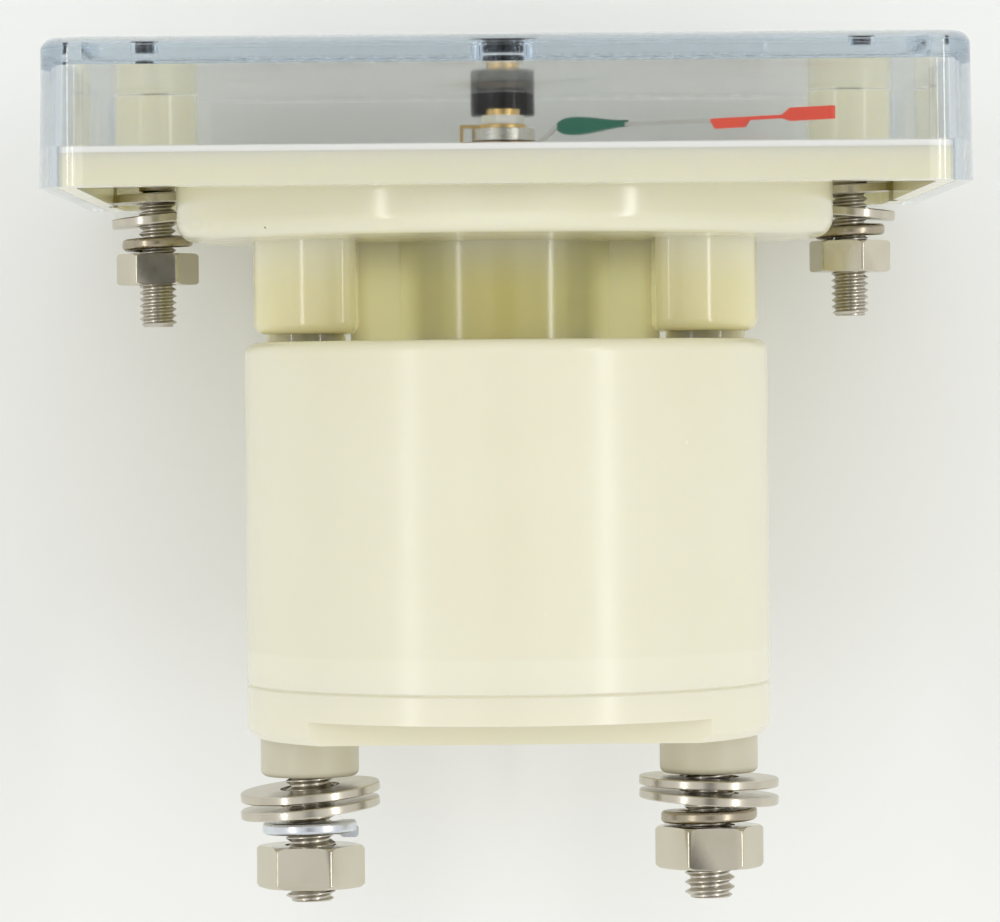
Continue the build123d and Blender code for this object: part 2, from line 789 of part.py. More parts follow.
for name, sign in (("core_spacer_upper", 1), ("core_spacer_lower", -1)):
    with BuildPart() as core_spacer:
        with BuildSketch(facing_front(core_end - spacer_inset)):
            with Locations((0, pivot_z)):
                Circle(yoke_inner_radius)
                Circle(core_radius, mode=Mode.SUBTRACT)
            with Locations((0, pivot_z + sign * yoke_inner_radius / 2)):
                Rectangle(2 * spacer_half_width, yoke_inner_radius, mode=Mode.INTERSECT)
        extrude(amount=core_length - 2 * spacer_inset)
    save(core_spacer.part, name)

# Movement frame: a ring on the yoke with an ear and a screw on each side
with BuildPart() as movement_frame:
    with BuildSketch(facing_front(core_front)):
        with Locations((0, pivot_z)):
            Circle(yoke_outer_radius)
        with Locations(frame_screw_spots):
            Circle(frame_ear_radius)
        with Locations((0, pivot_z)):
            Rectangle(2 * frame_ear_x, 2 * frame_ear_radius)
            Circle(frame_inner_radius, mode=Mode.SUBTRACT)
        with Locations(frame_screw_spots):
            Circle(small_screw_radius + thread_play, mode=Mode.SUBTRACT)
    extrude(amount=frame_thickness)
save(movement_frame.part, "movement_frame")

# Front bridge: a cock whose foot stands on the frame below the axis
bridge_rear = bridge_front + bridge_thickness
with BuildPart() as front_bridge:
    with BuildSketch(facing_front(bridge_rear)):
        with Locations((0, pivot_z)):
            Circle(bridge_width / 2)
        with Locations((0, pivot_z - bridge_leg_outer / 2)):
            Rectangle(bridge_width, bridge_leg_outer)
    extrude(amount=bridge_thickness)
    fillet(front_bridge.edges().filter_by(Axis.X).group_by(Axis.Y)[0], bridge_edge_radius)
    with BuildSketch(facing_front(frame_front)):
        with Locations((0, pivot_z - (bridge_leg_inner + bridge_leg_outer) / 2)):
            Rectangle(bridge_width, bridge_leg_outer - bridge_leg_inner)
    extrude(amount=frame_front - bridge_rear)
    with BuildSketch(facing_front(bridge_rear)):
        with Locations((0, pivot_z)):
            Circle(jewel_screw_radius + thread_play)
    extrude(amount=bridge_thickness, mode=Mode.SUBTRACT)
save(front_bridge.part, "front_bridge")

# Rear bridge: a bar across the yoke's rear on two legs
rear_bridge_end = rear_bridge_front + rear_bridge_thickness
rear_cup = rear_bridge_front - rear_jewel_reach
rear_spring_y = rear_cup - rear_spring_clear - hairspring_width / 2
with BuildPart() as rear_bridge:
    with BuildSketch(facing_front(rear_bridge_end)):
        with Locations((0, pivot_z)):
            Circle(yoke_outer_radius - rear_bridge_inset)
            Rectangle(rear_bridge_width, 2 * yoke_outer_radius, mode=Mode.INTERSECT)
    extrude(amount=rear_bridge_end - core_end)
    with BuildSketch(facing_front(rear_bridge_front)):
        with Locations((0, pivot_z)):
            Rectangle(2 * rear_bridge_width, 2 * bridge_leg_inner)
    extrude(amount=rear_bridge_front - core_end, mode=Mode.SUBTRACT)
    with BuildSketch(facing_front(rear_bridge_end)):
        with Locations((-(anchor_face + anchor_thickness) / 2, pivot_z)):
            Rectangle(anchor_face + anchor_thickness, anchor_width)
    extrude(amount=rear_bridge_thickness)
    with BuildSketch(facing_front(rear_bridge_front)):
        with Locations((-anchor_face - anchor_thickness / 2, pivot_z)):
            Rectangle(anchor_thickness, anchor_width)
    extrude(amount=rear_bridge_front - rear_spring_y + hairspring_width / 2)
    with BuildSketch(facing_front(rear_bridge_end)):
        with Locations((0, pivot_z)):
            Circle(jewel_screw_radius + thread_play)
    extrude(amount=rear_bridge_thickness, mode=Mode.SUBTRACT)
save(rear_bridge.part, "rear_bridge")

# Jewel screws: each takes a pivot needle in a cup in its end
lock_nut_front = bridge_front - lever_thickness - 2 * lever_play - lock_nut_height
with BuildPart() as front_jewel_screw:
    with BuildSketch(facing_front(bridge_rear)):
        with Locations((0, pivot_z)):
            Circle(jewel_screw_radius)
    extrude(amount=bridge_rear - lock_nut_front)
    with BuildSketch(facing_front(lock_nut_front)):
        with Locations((0, pivot_z)):
            Circle(jewel_head_radius)
    extrude(amount=jewel_head_height)
    with BuildSketch(facing_front(lock_nut_front - jewel_head_height + slot_depth)):
        with Locations((0, pivot_z)):
            Rectangle(3 * jewel_head_radius, slot_width, rotation=20)
    extrude(amount=slot_depth, mode=Mode.SUBTRACT)
    with BuildSketch(facing_front(bridge_rear)):
        with Locations((0, pivot_z)):
            Circle(jewel_cup_radius)
    extrude(amount=jewel_cup_depth, taper=jewel_cup_taper, mode=Mode.SUBTRACT)
save(front_jewel_screw.part, "front_jewel_screw")

with BuildPart() as jewel_lock_nut:
    with BuildSketch(facing_front(lock_nut_front + lock_nut_height)):
        with Locations((0, pivot_z)):
            RegularPolygon(lock_nut_corner, 6, rotation=10)
            Circle(jewel_screw_radius + thread_play, mode=Mode.SUBTRACT)
    extrude(amount=lock_nut_height)
save(jewel_lock_nut.part, "jewel_lock_nut")

with BuildPart() as rear_jewel_screw:
    with BuildSketch(facing_front(rear_bridge_end + rear_jewel_reach)):
        with Locations((0, pivot_z)):
            Circle(jewel_screw_radius)
    extrude(amount=rear_bridge_end + rear_jewel_reach - rear_cup)
    with BuildSketch(facing_front(rear_cup)):
        with Locations((0, pivot_z)):
            Circle(jewel_cup_radius)
    extrude(amount=-jewel_cup_depth, taper=jewel_cup_taper, mode=Mode.SUBTRACT)
save(rear_jewel_screw.part, "rear_jewel_screw")

# Coil: an aluminium former round the core and the copper winding on its outside, at right
# angles to the pointer, so that half way through its swing it stands clear of both spacers
point_dir = (-sin(radians(pointer_angle)), 0, cos(radians(pointer_angle)))
coil_dir = (cos(radians(pointer_angle)), 0, sin(radians(pointer_angle)))
coil_plane = Plane(origin=(0, 0, pivot_z), x_dir=coil_dir, z_dir=point_dir)
with BuildPart() as coil_former:
    with BuildSketch(coil_plane):
        with Locations((0, (coil_front + coil_rear) / 2)):
            RectangleRounded(2 * (coil_inner_radius + coil_bar), coil_rear - coil_front,
                             coil_corner)
            Rectangle(2 * coil_inner_radius, coil_rear - coil_front - 2 * coil_bar,
                      mode=Mode.SUBTRACT)
    extrude(amount=coil_width / 2, both=True)
save(coil_former.part, "coil_former")

with BuildPart() as coil_wire:
    with BuildSketch(coil_plane):
        with Locations((0, (coil_front + coil_rear) / 2)):
            RectangleRounded(2 * coil_outer_radius,
                             coil_rear - coil_front + 2 * coil_winding,
                             coil_corner + coil_winding)
            RectangleRounded(2 * (coil_inner_radius + coil_bar), coil_rear - coil_front,
                             coil_corner, mode=Mode.SUBTRACT)
    extrude(amount=coil_width / 2 - winding_inset, both=True)
save(coil_wire.part, "coil_winding")


def pivot_staff(name, seat, sign, collet, tip):
    """A staff glued on the winding: disc, rod, spring collet and needle, along sign times Y.

    The collet starts at Y = collet and the needle ends at Y = tip.
    """
    with BuildPart() as staff:
        with BuildSketch(Plane.XY.offset(pivot_z)):
            with BuildLine():
                Polyline((0, seat), (staff_disc_radius, seat),
                         (staff_disc_radius, seat + sign * staff_disc_thickness),
                         (staff_radius, seat + sign * staff_disc_thickness),
                         (staff_radius, collet), (collet_radius, collet),
                         (collet_radius, collet + sign * hairspring_width),
                         (needle_radius, tip - sign * needle_length),
                         (needle_point, tip), (0, tip), close=True)
            make_face()
        revolve(axis=Axis((0, 0, pivot_z), (0, 1, 0)))
    save(staff.part, name)


pivot_staff("front_staff", coil_front - coil_winding, -1,
            front_spring_y + hairspring_width / 2, bridge_rear - needle_depth)
pivot_staff("rear_staff", coil_rear + coil_winding, 1,
            rear_spring_y - hairspring_width / 2, rear_cup + needle_depth)

# Balance cross on the front staff: a hub, a tail and two side arms with weights
hub_rear = hub_front + hub_length
cross_turn = pointer_angle + 90
with BuildPart() as balance_cross:
    with BuildSketch(facing_front(hub_rear)):
        with Locations((0, pivot_z)):
            Circle(hub_radius)
    extrude(amount=hub_length)
    with BuildSketch(facing_front(hub_front + arm_thickness)):
        for angle, reach in ((180, tail_length), (90, side_arm_length),
                             (-90, side_arm_length)):
            a = radians(cross_turn + angle)
            with Locations((cos(a) * reach / 2, pivot_z + sin(a) * reach / 2)):
                Rectangle(reach, arm_width, rotation=cross_turn + angle)
    extrude(amount=arm_thickness)
    with BuildSketch(facing_front(hub_front + arm_thickness)):
        for angle in (90, -90):
            a = radians(cross_turn + angle)
            mid = side_arm_length - weight_length / 2
            with Locations((cos(a) * mid, pivot_z + sin(a) * mid)):
                Rectangle(weight_length, weight_width, rotation=cross_turn + angle)
    extrude(amount=arm_thickness)
    with BuildSketch(facing_front(hub_front + (arm_thickness + tail_weight_height) / 2)):
        a = radians(cross_turn + 180)
        mid = tail_length - tail_weight_length / 2
        with Locations((cos(a) * mid, pivot_z + sin(a) * mid)):
            RectangleRounded(tail_weight_length, tail_weight_width, 0.3,
                             rotation=cross_turn + 180)
    extrude(amount=tail_weight_height)
    with BuildSketch(facing_front(hub_rear)):
        with Locations((0, pivot_z)):
            Circle(staff_radius + hub_fit)
    extrude(amount=hub_length, mode=Mode.SUBTRACT)
save(balance_cross.part, "balance_cross")

# Pointer: side profile drawn along its length and forwards, then given its thickness
side_view = Plane(origin=(0, 0, pivot_z), x_dir=point_dir, z_dir=coil_dir)
root_level = -(hub_front + arm_thickness / 2)
rod_level = root_level + pointer_forward
with BuildPart() as pointer:
    with BuildSketch(side_view):
        with BuildLine():
            low = Polyline((hub_radius, root_level - pointer_rod / 2),
                           (crank_start, root_level - pointer_rod / 2),
                           (crank_end, rod_level - pointer_rod / 2),
                           (red_start, rod_level - pointer_rod),
                           (red_start + red_slope, rod_level - red_height),
                           (neck_start, rod_level - red_height),
                           (neck_start + neck_slope, rod_level - neck_height),
                           (neck_end, rod_level - neck_height),
                           (neck_end + blade_slope, rod_level - blade_height / 2),
                           (pointer_length, rod_level - blade_height / 2))
            high = Polyline((pointer_length, rod_level + blade_height / 2),
                            (neck_end + blade_slope, rod_level + blade_height / 2),
                            (neck_end, rod_level),
                            (neck_start + neck_slope, rod_level),
                            (neck_start, rod_level),
                            (red_start, rod_level),
                            (crank_end, rod_level + pointer_rod / 2),
                            (crank_start, root_level + pointer_rod / 2),
                            (hub_radius, root_level + pointer_rod / 2))
            Line(low @ 1, high @ 0)
            Line(high @ 1, low @ 0)
        make_face()
    extrude(amount=pointer_thickness / 2, both=True)
save(pointer.part, "pointer")

# Green leaf: two bowed faces round the rod, with the rod's own place cut out
with BuildPart() as pointer_leaf:
    with BuildSketch(side_view):
        with BuildLine():
            upper = Bezier((leaf_start, rod_level + leaf_tip / 2),
                           (leaf_start + leaf_belly, rod_level + leaf_height),
                           (leaf_end - 2 * leaf_belly, rod_level + leaf_tip / 2),
                           (leaf_end, rod_level + leaf_tip / 2))
            lower = Bezier((leaf_end, rod_level - leaf_tip / 2),
                           (leaf_end - 2 * leaf_belly, rod_level - leaf_tip / 2),
                           (leaf_start + leaf_belly, rod_level - leaf_height),
                           (leaf_start, rod_level - leaf_tip / 2))
            Line(upper @ 1, lower @ 0)
            Line(lower @ 1, upper @ 0)
        make_face()
    extrude(amount=leaf_thickness / 2, both=True)
    add(pointer.part, mode=Mode.SUBTRACT)
save(pointer_leaf.part, "pointer_leaf")


def hairspring(name, y, hand):
    """A flat spiral of half turns, each larger than the last, with its strip on edge."""
    with BuildPart() as spring:
        with BuildLine(facing_front(y)):
            start, sign = hairspring_inner, 1
            left_end = (hand * start, pivot_z)
            for half in range(2 * hairspring_turns):
                span = 2 * hairspring_inner + (half + 0.5) * hairspring_pitch
                right_end = (left_end[0] - hand * sign * span, pivot_z)
                middle = ((left_end[0] + right_end[0]) / 2, pivot_z + sign * span / 2)
                ThreePointArc(left_end, middle, right_end)
                left_end, sign = right_end, -sign
        path = spring.wires()[0] if spring.wires() else spring.pending_edges_as_wire
        with BuildSketch(Plane(origin=path @ 0, x_dir=(0, 1, 0), z_dir=path % 0)):
            Rectangle(hairspring_width, hairspring_thickness)
        sweep(path=path)
    save(spring.part, name)


hairspring("front_hairspring", front_spring_y, 1)
hairspring("rear_hairspring", rear_spring_y, -1)

# Zero lever: a ring between bridge and lock nut, a fork on the cam's pin and a tail
# that carries the front hairspring's outer end
lever_rear = bridge_front - lever_play
fork_z = adjuster_z + cam_throw
fork_half = cam_pin_radius + fork_slot_gap
tail_end = anchor_face + lever_thickness
with BuildPart() as zero_lever:
    with BuildSketch(facing_front(lever_rear)):
        with Locations((0, pivot_z)):
            Circle(lever_ring_radius)
        with Locations((0, (pivot_z + fork_z - fork_tip) / 2)):
            Rectangle(2 * (fork_half + fork_wall), pivot_z - fork_z + fork_tip)
        with Locations((tail_end / 2, pivot_z)):
            Rectangle(tail_end, lever_tail_width)
        with Locations((0, pivot_z)):
            Circle(jewel_screw_radius + lever_play, mode=Mode.SUBTRACT)
        with Locations((0, fork_z + (fork_slot_in - fork_slot_out) / 2)):
            Rectangle(2 * fork_half, fork_slot_in + fork_slot_out, mode=Mode.SUBTRACT)
    extrude(amount=lever_thickness)
    with BuildSketch(facing_front(front_spring_y + hairspring_width / 2)):
        with Locations((anchor_face + lever_thickness / 2, pivot_z)):
            Rectangle(lever_thickness, lever_tail_width)
    extrude(amount=front_spring_y + hairspring_width / 2 - lever_rear + lever_thickness)
save(zero_lever.part, "zero_lever")
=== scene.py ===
# An analog panel meter, seen from above its top side. X runs to the right as one faces the
# dial, Y rearwards through the panel and Z up. Lengths are in metres.
import math

import bpy
from mathutils import Matrix, Vector


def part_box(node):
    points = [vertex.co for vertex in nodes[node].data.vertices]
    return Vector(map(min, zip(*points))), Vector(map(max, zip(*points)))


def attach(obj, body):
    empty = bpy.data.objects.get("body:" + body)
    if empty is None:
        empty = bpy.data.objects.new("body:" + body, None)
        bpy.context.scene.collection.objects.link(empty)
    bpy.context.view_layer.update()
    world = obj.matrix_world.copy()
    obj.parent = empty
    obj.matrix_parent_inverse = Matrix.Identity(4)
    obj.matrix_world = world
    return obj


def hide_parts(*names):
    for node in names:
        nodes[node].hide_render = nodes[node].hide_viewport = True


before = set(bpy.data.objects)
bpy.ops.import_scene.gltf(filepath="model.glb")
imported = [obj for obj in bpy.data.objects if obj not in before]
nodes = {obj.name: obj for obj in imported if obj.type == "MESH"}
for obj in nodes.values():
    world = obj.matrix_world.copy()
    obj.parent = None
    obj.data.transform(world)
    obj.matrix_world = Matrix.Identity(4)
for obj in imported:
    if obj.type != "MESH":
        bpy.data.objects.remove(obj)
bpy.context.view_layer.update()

# The camera hangs over the meter's top side, as in the photograph: the dial side is at the
# top of the picture and the terminals at the bottom. Its lens is long, so the far side of the
# cover is only a little smaller than the near one.
camera_place = Vector((0.0023, 0.0134, 0.3944))
camera_aim = Vector((0.0005, 0.01945, 0.0))
camera_roll = math.radians(0.50)
camera_data = bpy.data.cameras.new("photo camera")
camera_data.sensor_width = 36.0
camera_data.lens = 192.8
camera_data.clip_start = 0.01
camera = bpy.data.objects.new("photo camera", camera_data)
bpy.context.collection.objects.link(camera)
look = (camera_aim - camera_place).normalized()
picture_right = look.cross(Vector((0, -1, 0))).normalized()
picture_up = picture_right.cross(look).normalized()
roll = Matrix.Rotation(camera_roll, 3, look)
axes = Matrix((roll @ picture_right, roll @ picture_up, -look)).transposed()
camera.matrix_world = Matrix.Translation(camera_place) @ axes.to_4x4()
bpy.context.scene.camera = camera
bpy.context.scene.view_settings.view_transform = "Standard"

# The meter lies in a white light tent. Soft light comes from all round, the lens looks in
# through a small dark opening overhead, and two narrow lamps, one above each side of the
# picture, draw the thin bright lines along the round plastic.
tent_light = 0.85
opening_light = 0.12
opening_edge = (math.cos(math.radians(13.0)), math.cos(math.radians(7.0)))
meter_middle = 0.02
lamp_slope = math.radians(43.0)
lamp_distance = 0.9
lamp_width = 0.05
lamp_length = 0.9
lamp_powers = {"left lamp": (1, 1.1), "right lamp": (-1, 1.5)}


def add_node(tree, kind, inputs=(), **settings):
    """A new shader node, with its settings, and each input given a value or a link."""
    made = tree.nodes.new("ShaderNode" + kind)
    for setting, value in settings.items():
        setattr(made, setting, value)
    for name, value in dict(inputs).items():
        if isinstance(value, bpy.types.NodeSocket):
            tree.links.new(value, made.inputs[name])
        else:
            made.inputs[name].default_value = value
    return made


tent = bpy.data.worlds.new("light tent")
bpy.context.scene.world = tent
tent.use_nodes = True
tree = tent.node_tree
way = add_node(tree, "TexCoord")
parts = add_node(tree, "SeparateXYZ", {"Vector": way.outputs["Generated"]})
overhead = add_node(tree, "MapRange", {"Value": parts.outputs["Z"], "From Min": opening_edge[0],
                                       "From Max": opening_edge[1], "To Min": tent_light,
                                       "To Max": opening_light}, interpolation_type="SMOOTHSTEP")
tree.links.new(overhead.outputs["Result"], tree.nodes["Background"].inputs["Strength"])
tree.nodes["Background"].inputs["Color"].default_value = (1.0, 1.0, 1.0, 1)
for name, (side, power) in lamp_powers.items():
    lamp_data = bpy.data.lights.new(name, "AREA")
    lamp_data.shape = "RECTANGLE"
    lamp_data.size = lamp_width
    lamp_data.size_y = lamp_length
    lamp_data.energy = power
    lamp = bpy.data.objects.new(name, lamp_data)
    bpy.context.collection.objects.link(lamp)
    lamp.location = (side * lamp_distance * math.sin(lamp_slope), meter_middle,
                     lamp_distance * math.cos(lamp_slope))
    lamp.rotation_euler = (0, side * lamp_slope, 0)

# Under the meter is a seamless sheet of pale matt paper that runs out past the picture on
# every side. The lens and the clear plastic see it a little paler than it lights the meter,
# and around the meter it is seen darker, a painted shade that fades to paler further out.
paper_half = 1.5
paper_colour = (0.86, 0.87, 0.84, 1)
paper_seen_painted_shade = (0.85, 0.858, 0.834, 1)
paper_seen_far = (0.93, 0.94, 0.92, 1)
painted_shade_fade = (0.028, 0.048)
bpy.ops.object.select_all(action="DESELECT")
bpy.ops.mesh.primitive_plane_add(size=2 * paper_half,
                                 location=(0, meter_middle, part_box("front_cover")[0][2]))
floor = bpy.context.object
floor.name = "floor"
bpy.ops.object.transform_apply(location=True, rotation=True, scale=True)
paper = bpy.data.materials.new("pale paper")
paper.use_nodes = True
tree = paper.node_tree
shader = tree.nodes["Principled BSDF"]
shader.inputs["Roughness"].default_value = 0.9
place = add_node(tree, "TexCoord")
middle = add_node(tree, "VectorMath", {0: place.outputs["Object"],
                                       1: (0.0, meter_middle, 0.0)}, operation="DISTANCE")
away = add_node(tree, "MapRange", {"Value": middle.outputs["Value"],
                                   "From Min": painted_shade_fade[0],
                                   "From Max": painted_shade_fade[1]})
# Painted shade: the paper is seen darker near the meter's middle and paler further out.
seen = add_node(tree, "Mix", {"Factor": away.outputs["Result"], "A": paper_seen_painted_shade,
                              "B": paper_seen_far}, data_type="RGBA")
ray = add_node(tree, "LightPath")
either = add_node(tree, "Math", {0: ray.outputs["Is Camera Ray"],
                                 1: ray.outputs["Is Transmission Ray"]}, operation="MAXIMUM")
any_view = add_node(tree, "Math", {0: either.outputs[0], 1: ray.outputs["Is Glossy Ray"]},
                    operation="MAXIMUM")
shown = add_node(tree, "Mix", {"Factor": any_view.outputs[0], "A": paper_colour,
                               "B": seen.outputs["Result"]}, data_type="RGBA")
tree.links.new(shown.outputs["Result"], shader.inputs["Base Color"])
floor.data.materials.append(paper)

# The base housing is one moulding of glossy cream plastic: flange, round boss, well and the
# two terminal towers. Its walls let a little light through. The neck between boss and cap and
# the towers are coloured a deeper, darker amber, a painted shade, and the thin flanks beside
# the well are coloured paler, a painted light; those flanks also glow faintly, painted light
# too.
# Painted shade and light: darker amber on the neck and towers, paler amber on the well's flanks.
cream_light = (0.84, 0.815, 0.645, 1)
cream_deep = (0.80, 0.77, 0.585, 1)
neck_painted_shade = (0.95, 0.86, 0.40, 1)
flank_painted_light = (1.0, 0.97, 0.62, 1)
flank_start = (0.0025, 0.0055)
neck_reach = (0.0024, 0.0072)
neck_half_width = (0.0100, 0.0122)
tower_painted_shade = (0.82, 0.73, 0.36, 1)
tower_share = 0.6
glow_start = (0.0060, 0.0074)
painted_glow = 0.17
speck_size = 0.008
speck_brown = (0.10, 0.08, 0.04, 1)


def moulded(name, colour, darker, roughness, grain=2500.0, relief=0.00001, specks=0.0):
    """A moulded plastic: its colour wanders between two shades, its gloss varies, its skin
    has a fine grain, and it may carry a few dark specks."""
    material = bpy.data.materials.new(name)
    material.use_nodes = True
    tree = material.node_tree
    shader = tree.nodes["Principled BSDF"]
    place = add_node(tree, "TexCoord")
    cloud = add_node(tree, "TexNoise", {"Vector": place.outputs["Object"], "Scale": 90.0,
                                        "Detail": 6.0})
    shade = add_node(tree, "Mix", {"Factor": cloud.outputs["Fac"], "A": colour, "B": darker},
                     data_type="RGBA")
    if specks:
        cells = add_node(tree, "TexVoronoi", {"Vector": place.outputs["Object"],
                                              "Scale": 105.0})
        dot = add_node(tree, "MapRange", {"Value": cells.outputs["Distance"],
                                          "From Min": specks, "From Max": specks * 1.6,
                                          "To Min": 0.7, "To Max": 0.0})
        shade = add_node(tree, "Mix", {"Factor": dot.outputs["Result"],
                                       "A": shade.outputs["Result"],
                                       "B": speck_brown}, data_type="RGBA")
    tree.links.new(shade.outputs["Result"], shader.inputs["Base Color"])
    smear = add_node(tree, "TexNoise", {"Vector": place.outputs["Object"], "Scale": 320.0,
                                        "Detail": 4.0})
    gloss = add_node(tree, "MapRange", {"Value": smear.outputs["Fac"],
                                        "To Min": roughness * 0.8, "To Max": roughness * 1.25})
    tree.links.new(gloss.outputs["Result"], shader.inputs["Roughness"])
    fine = add_node(tree, "TexNoise", {"Vector": place.outputs["Object"], "Scale": grain,
                                       "Detail": 3.0})
    bump = add_node(tree, "Bump", {"Height": fine.outputs["Fac"], "Strength": 0.25,
                                   "Distance": relief})
    tree.links.new(bump.outputs["Normal"], shader.inputs["Normal"])
    return material


def dress(piece, material):
    """Give a CAD node or a new piece one material."""
    piece.data.materials.clear()
    piece.data.materials.append(material)


housing_cream = moulded("housing cream plastic", cream_light, cream_deep, 0.13,
                        specks=speck_size)
tree = housing_cream.node_tree
shader = tree.nodes["Principled BSDF"]
shader.inputs["Subsurface Weight"].default_value = 0.35
shader.inputs["Subsurface Radius"].default_value = (1.0, 0.8, 0.3)
shader.inputs["Subsurface Scale"].default_value = 0.003
place = add_node(tree, "TexCoord")
parts = add_node(tree, "SeparateXYZ", {"Vector": place.outputs["Object"]})
along = add_node(tree, "MapRange", {"Value": parts.outputs["Y"], "From Min": neck_reach[0],
                                    "From Max": neck_reach[1]}, interpolation_type="SMOOTHSTEP")
aside = add_node(tree, "Math", {0: parts.outputs["X"]}, operation="ABSOLUTE")
inward = add_node(tree, "MapRange", {"Value": aside.outputs[0], "From Min": neck_half_width[0],
                                     "From Max": neck_half_width[1], "To Min": 1.0,
                                     "To Max": tower_share})
painted_shade_share = add_node(tree, "Math", {0: along.outputs["Result"], 1: inward.outputs["Result"]},
                 operation="MULTIPLY")
plain = shader.inputs["Base Color"].links[0].from_socket
flank = add_node(tree, "MapRange", {"Value": aside.outputs[0], "From Min": flank_start[0],
                                    "From Max": flank_start[1]})
web = add_node(tree, "MapRange", {"Value": aside.outputs[0], "From Min": neck_half_width[0],
                                  "From Max": neck_half_width[1], "To Min": 1.0,
                                  "To Max": 0.0})
painted_lighter = add_node(tree, "Math", {0: flank.outputs["Result"], 1: web.outputs["Result"]},
                 operation="MULTIPLY")
neck_painted_tones = add_node(tree, "Mix", {"Factor": painted_lighter.outputs[0], "A": neck_painted_shade,
                               "B": flank_painted_light}, data_type="RGBA")
painted_tones = add_node(tree, "Mix", {"Factor": web.outputs["Result"], "A": tower_painted_shade,
                                "B": neck_painted_tones.outputs["Result"]}, data_type="RGBA")
# Painted shade: the neck and towers are mixed towards these darker ambers.
painted_colour = add_node(tree, "Mix", {"Factor": painted_shade_share.outputs[0], "A": plain,
                              "B": painted_tones.outputs["Result"]}, data_type="RGBA")
tree.links.new(painted_colour.outputs["Result"], shader.inputs["Base Color"])
# Painted light: the flanks beside the well glow faintly, though no lamp is there.
glow_ramp = add_node(tree, "MapRange", {"Value": aside.outputs[0], "From Min": glow_start[0],
                                   "From Max": glow_start[1], "To Max": painted_glow})
glow_web = add_node(tree, "Math", {0: glow_ramp.outputs["Result"], 1: web.outputs["Result"]},
                    operation="MULTIPLY")
glow_strength = add_node(tree, "Math", {0: glow_web.outputs[0], 1: along.outputs["Result"]},
                  operation="MULTIPLY")
shader.inputs["Emission Color"].default_value = flank_painted_light
tree.links.new(glow_strength.outputs[0], shader.inputs["Emission Strength"])
dress(nodes["base_housing"], housing_cream)

# The round rear cap and its end plate are moulded in the same cream plastic, less glossy than
# the base. The cap is a can pushed over the neck, and the plate is snapped into its rear end.
# A paler band is painted on the cap where the plate's rim sits inside, a painted light for the
# rim showing faintly through the wall.
rim_show_start = 0.0330
rim_show_full = 0.0333
rim_painted_light = (0.865, 0.84, 0.68, 1)
cap_cream = moulded("cap cream plastic", cream_light, cream_deep, 0.24, specks=speck_size)
plate_cream = moulded("end plate cream plastic", (0.845, 0.815, 0.65, 1),
                      (0.81, 0.775, 0.60, 1), 0.22)
for finish in (cap_cream, plate_cream):
    shader = finish.node_tree.nodes["Principled BSDF"]
    shader.inputs["Subsurface Weight"].default_value = 0.15
    shader.inputs["Subsurface Radius"].default_value = (1.0, 0.8, 0.35)
    shader.inputs["Subsurface Scale"].default_value = 0.002
tree = cap_cream.node_tree
shader = tree.nodes["Principled BSDF"]
place = add_node(tree, "TexCoord")
parts = add_node(tree, "SeparateXYZ", {"Vector": place.outputs["Object"]})
# Painted light: a paler band where the end plate's rim sits inside the cap.
rim = add_node(tree, "MapRange", {"Value": parts.outputs["Y"], "From Min": rim_show_start,
                                  "From Max": rim_show_full, "To Max": 0.5})
plain = shader.inputs["Base Color"].links[0].from_socket
painted_lighter = add_node(tree, "Mix", {"Factor": rim.outputs["Result"], "A": plain, "B": rim_painted_light},
                 data_type="RGBA")
tree.links.new(painted_lighter.outputs["Result"], shader.inputs["Base Color"])
dress(nodes["rear_cap"], cap_cream)
dress(nodes["rear_end_plate"], plate_cream)

# The front cover is one polished moulding of clear plastic, a shallow box that looks blue
# where a wall is seen edge-on, with flutes at the foot of its front wall. Its side walls carry a
# darker bluish tint, a painted shade for that edge-on look, and its rear skirt a clearer tint,
# a painted light that brightens the flange seen through it. The light that fills the meter
# passes straight through it, and so does what has crossed many faces.
clear_tint = (0.86, 0.865, 0.84, 1)
edge_tint = (0.30, 0.55, 0.80, 1)
edge_depth = 8.5
side_wall_painted_shade = (0.64, 0.69, 0.73, 1)
skirt_painted_light = (0.97, 0.97, 0.96, 1)
skirt_start = -0.0027
wall_start = 0.0304
light_stopped = 0.08
late_light_stopped = 0.28
most_crossings = 3
flute_pitch = 0.0018
flute_front = -0.0083
flute_top = -0.0195
flute_half_width = 0.0205
flute_depth = 0.0001
clear = bpy.data.materials.new("clear plastic")
clear.use_nodes = True
tree = clear.node_tree
shader = tree.nodes["Principled BSDF"]
shader.inputs["Roughness"].default_value = 0.04
shader.inputs["IOR"].default_value = 1.49
shader.inputs["Transmission Weight"].default_value = 1.0
ray = add_node(tree, "LightPath")
lit = add_node(tree, "Math", {0: ray.outputs["Is Shadow Ray"],
                              1: ray.outputs["Is Diffuse Ray"]}, operation="MAXIMUM")
deep = add_node(tree, "Math", {0: ray.outputs["Ray Depth"], 1: most_crossings},
                operation="GREATER_THAN")
late = add_node(tree, "MapRange", {"Value": deep.outputs[0], "To Min": 1.0,
                                   "To Max": late_light_stopped})
stopped = add_node(tree, "MapRange", {"Value": lit.outputs[0], "To Min": late.outputs["Result"],
                                      "To Max": light_stopped})
tree.links.new(stopped.outputs["Result"], shader.inputs["Alpha"])
place = add_node(tree, "TexCoord")
parts = add_node(tree, "SeparateXYZ", {"Vector": place.outputs["Object"]})
phase = add_node(tree, "Math", {0: parts.outputs["X"], 1: 2 * math.pi / flute_pitch},
                 operation="MULTIPLY")
wave = add_node(tree, "Math", {0: phase.outputs[0]}, operation="SINE")
front = add_node(tree, "Math", {0: parts.outputs["Y"], 1: flute_front}, operation="LESS_THAN")
low = add_node(tree, "Math", {0: parts.outputs["Z"], 1: flute_top}, operation="LESS_THAN")
aside = add_node(tree, "Math", {0: parts.outputs["X"]}, operation="ABSOLUTE")
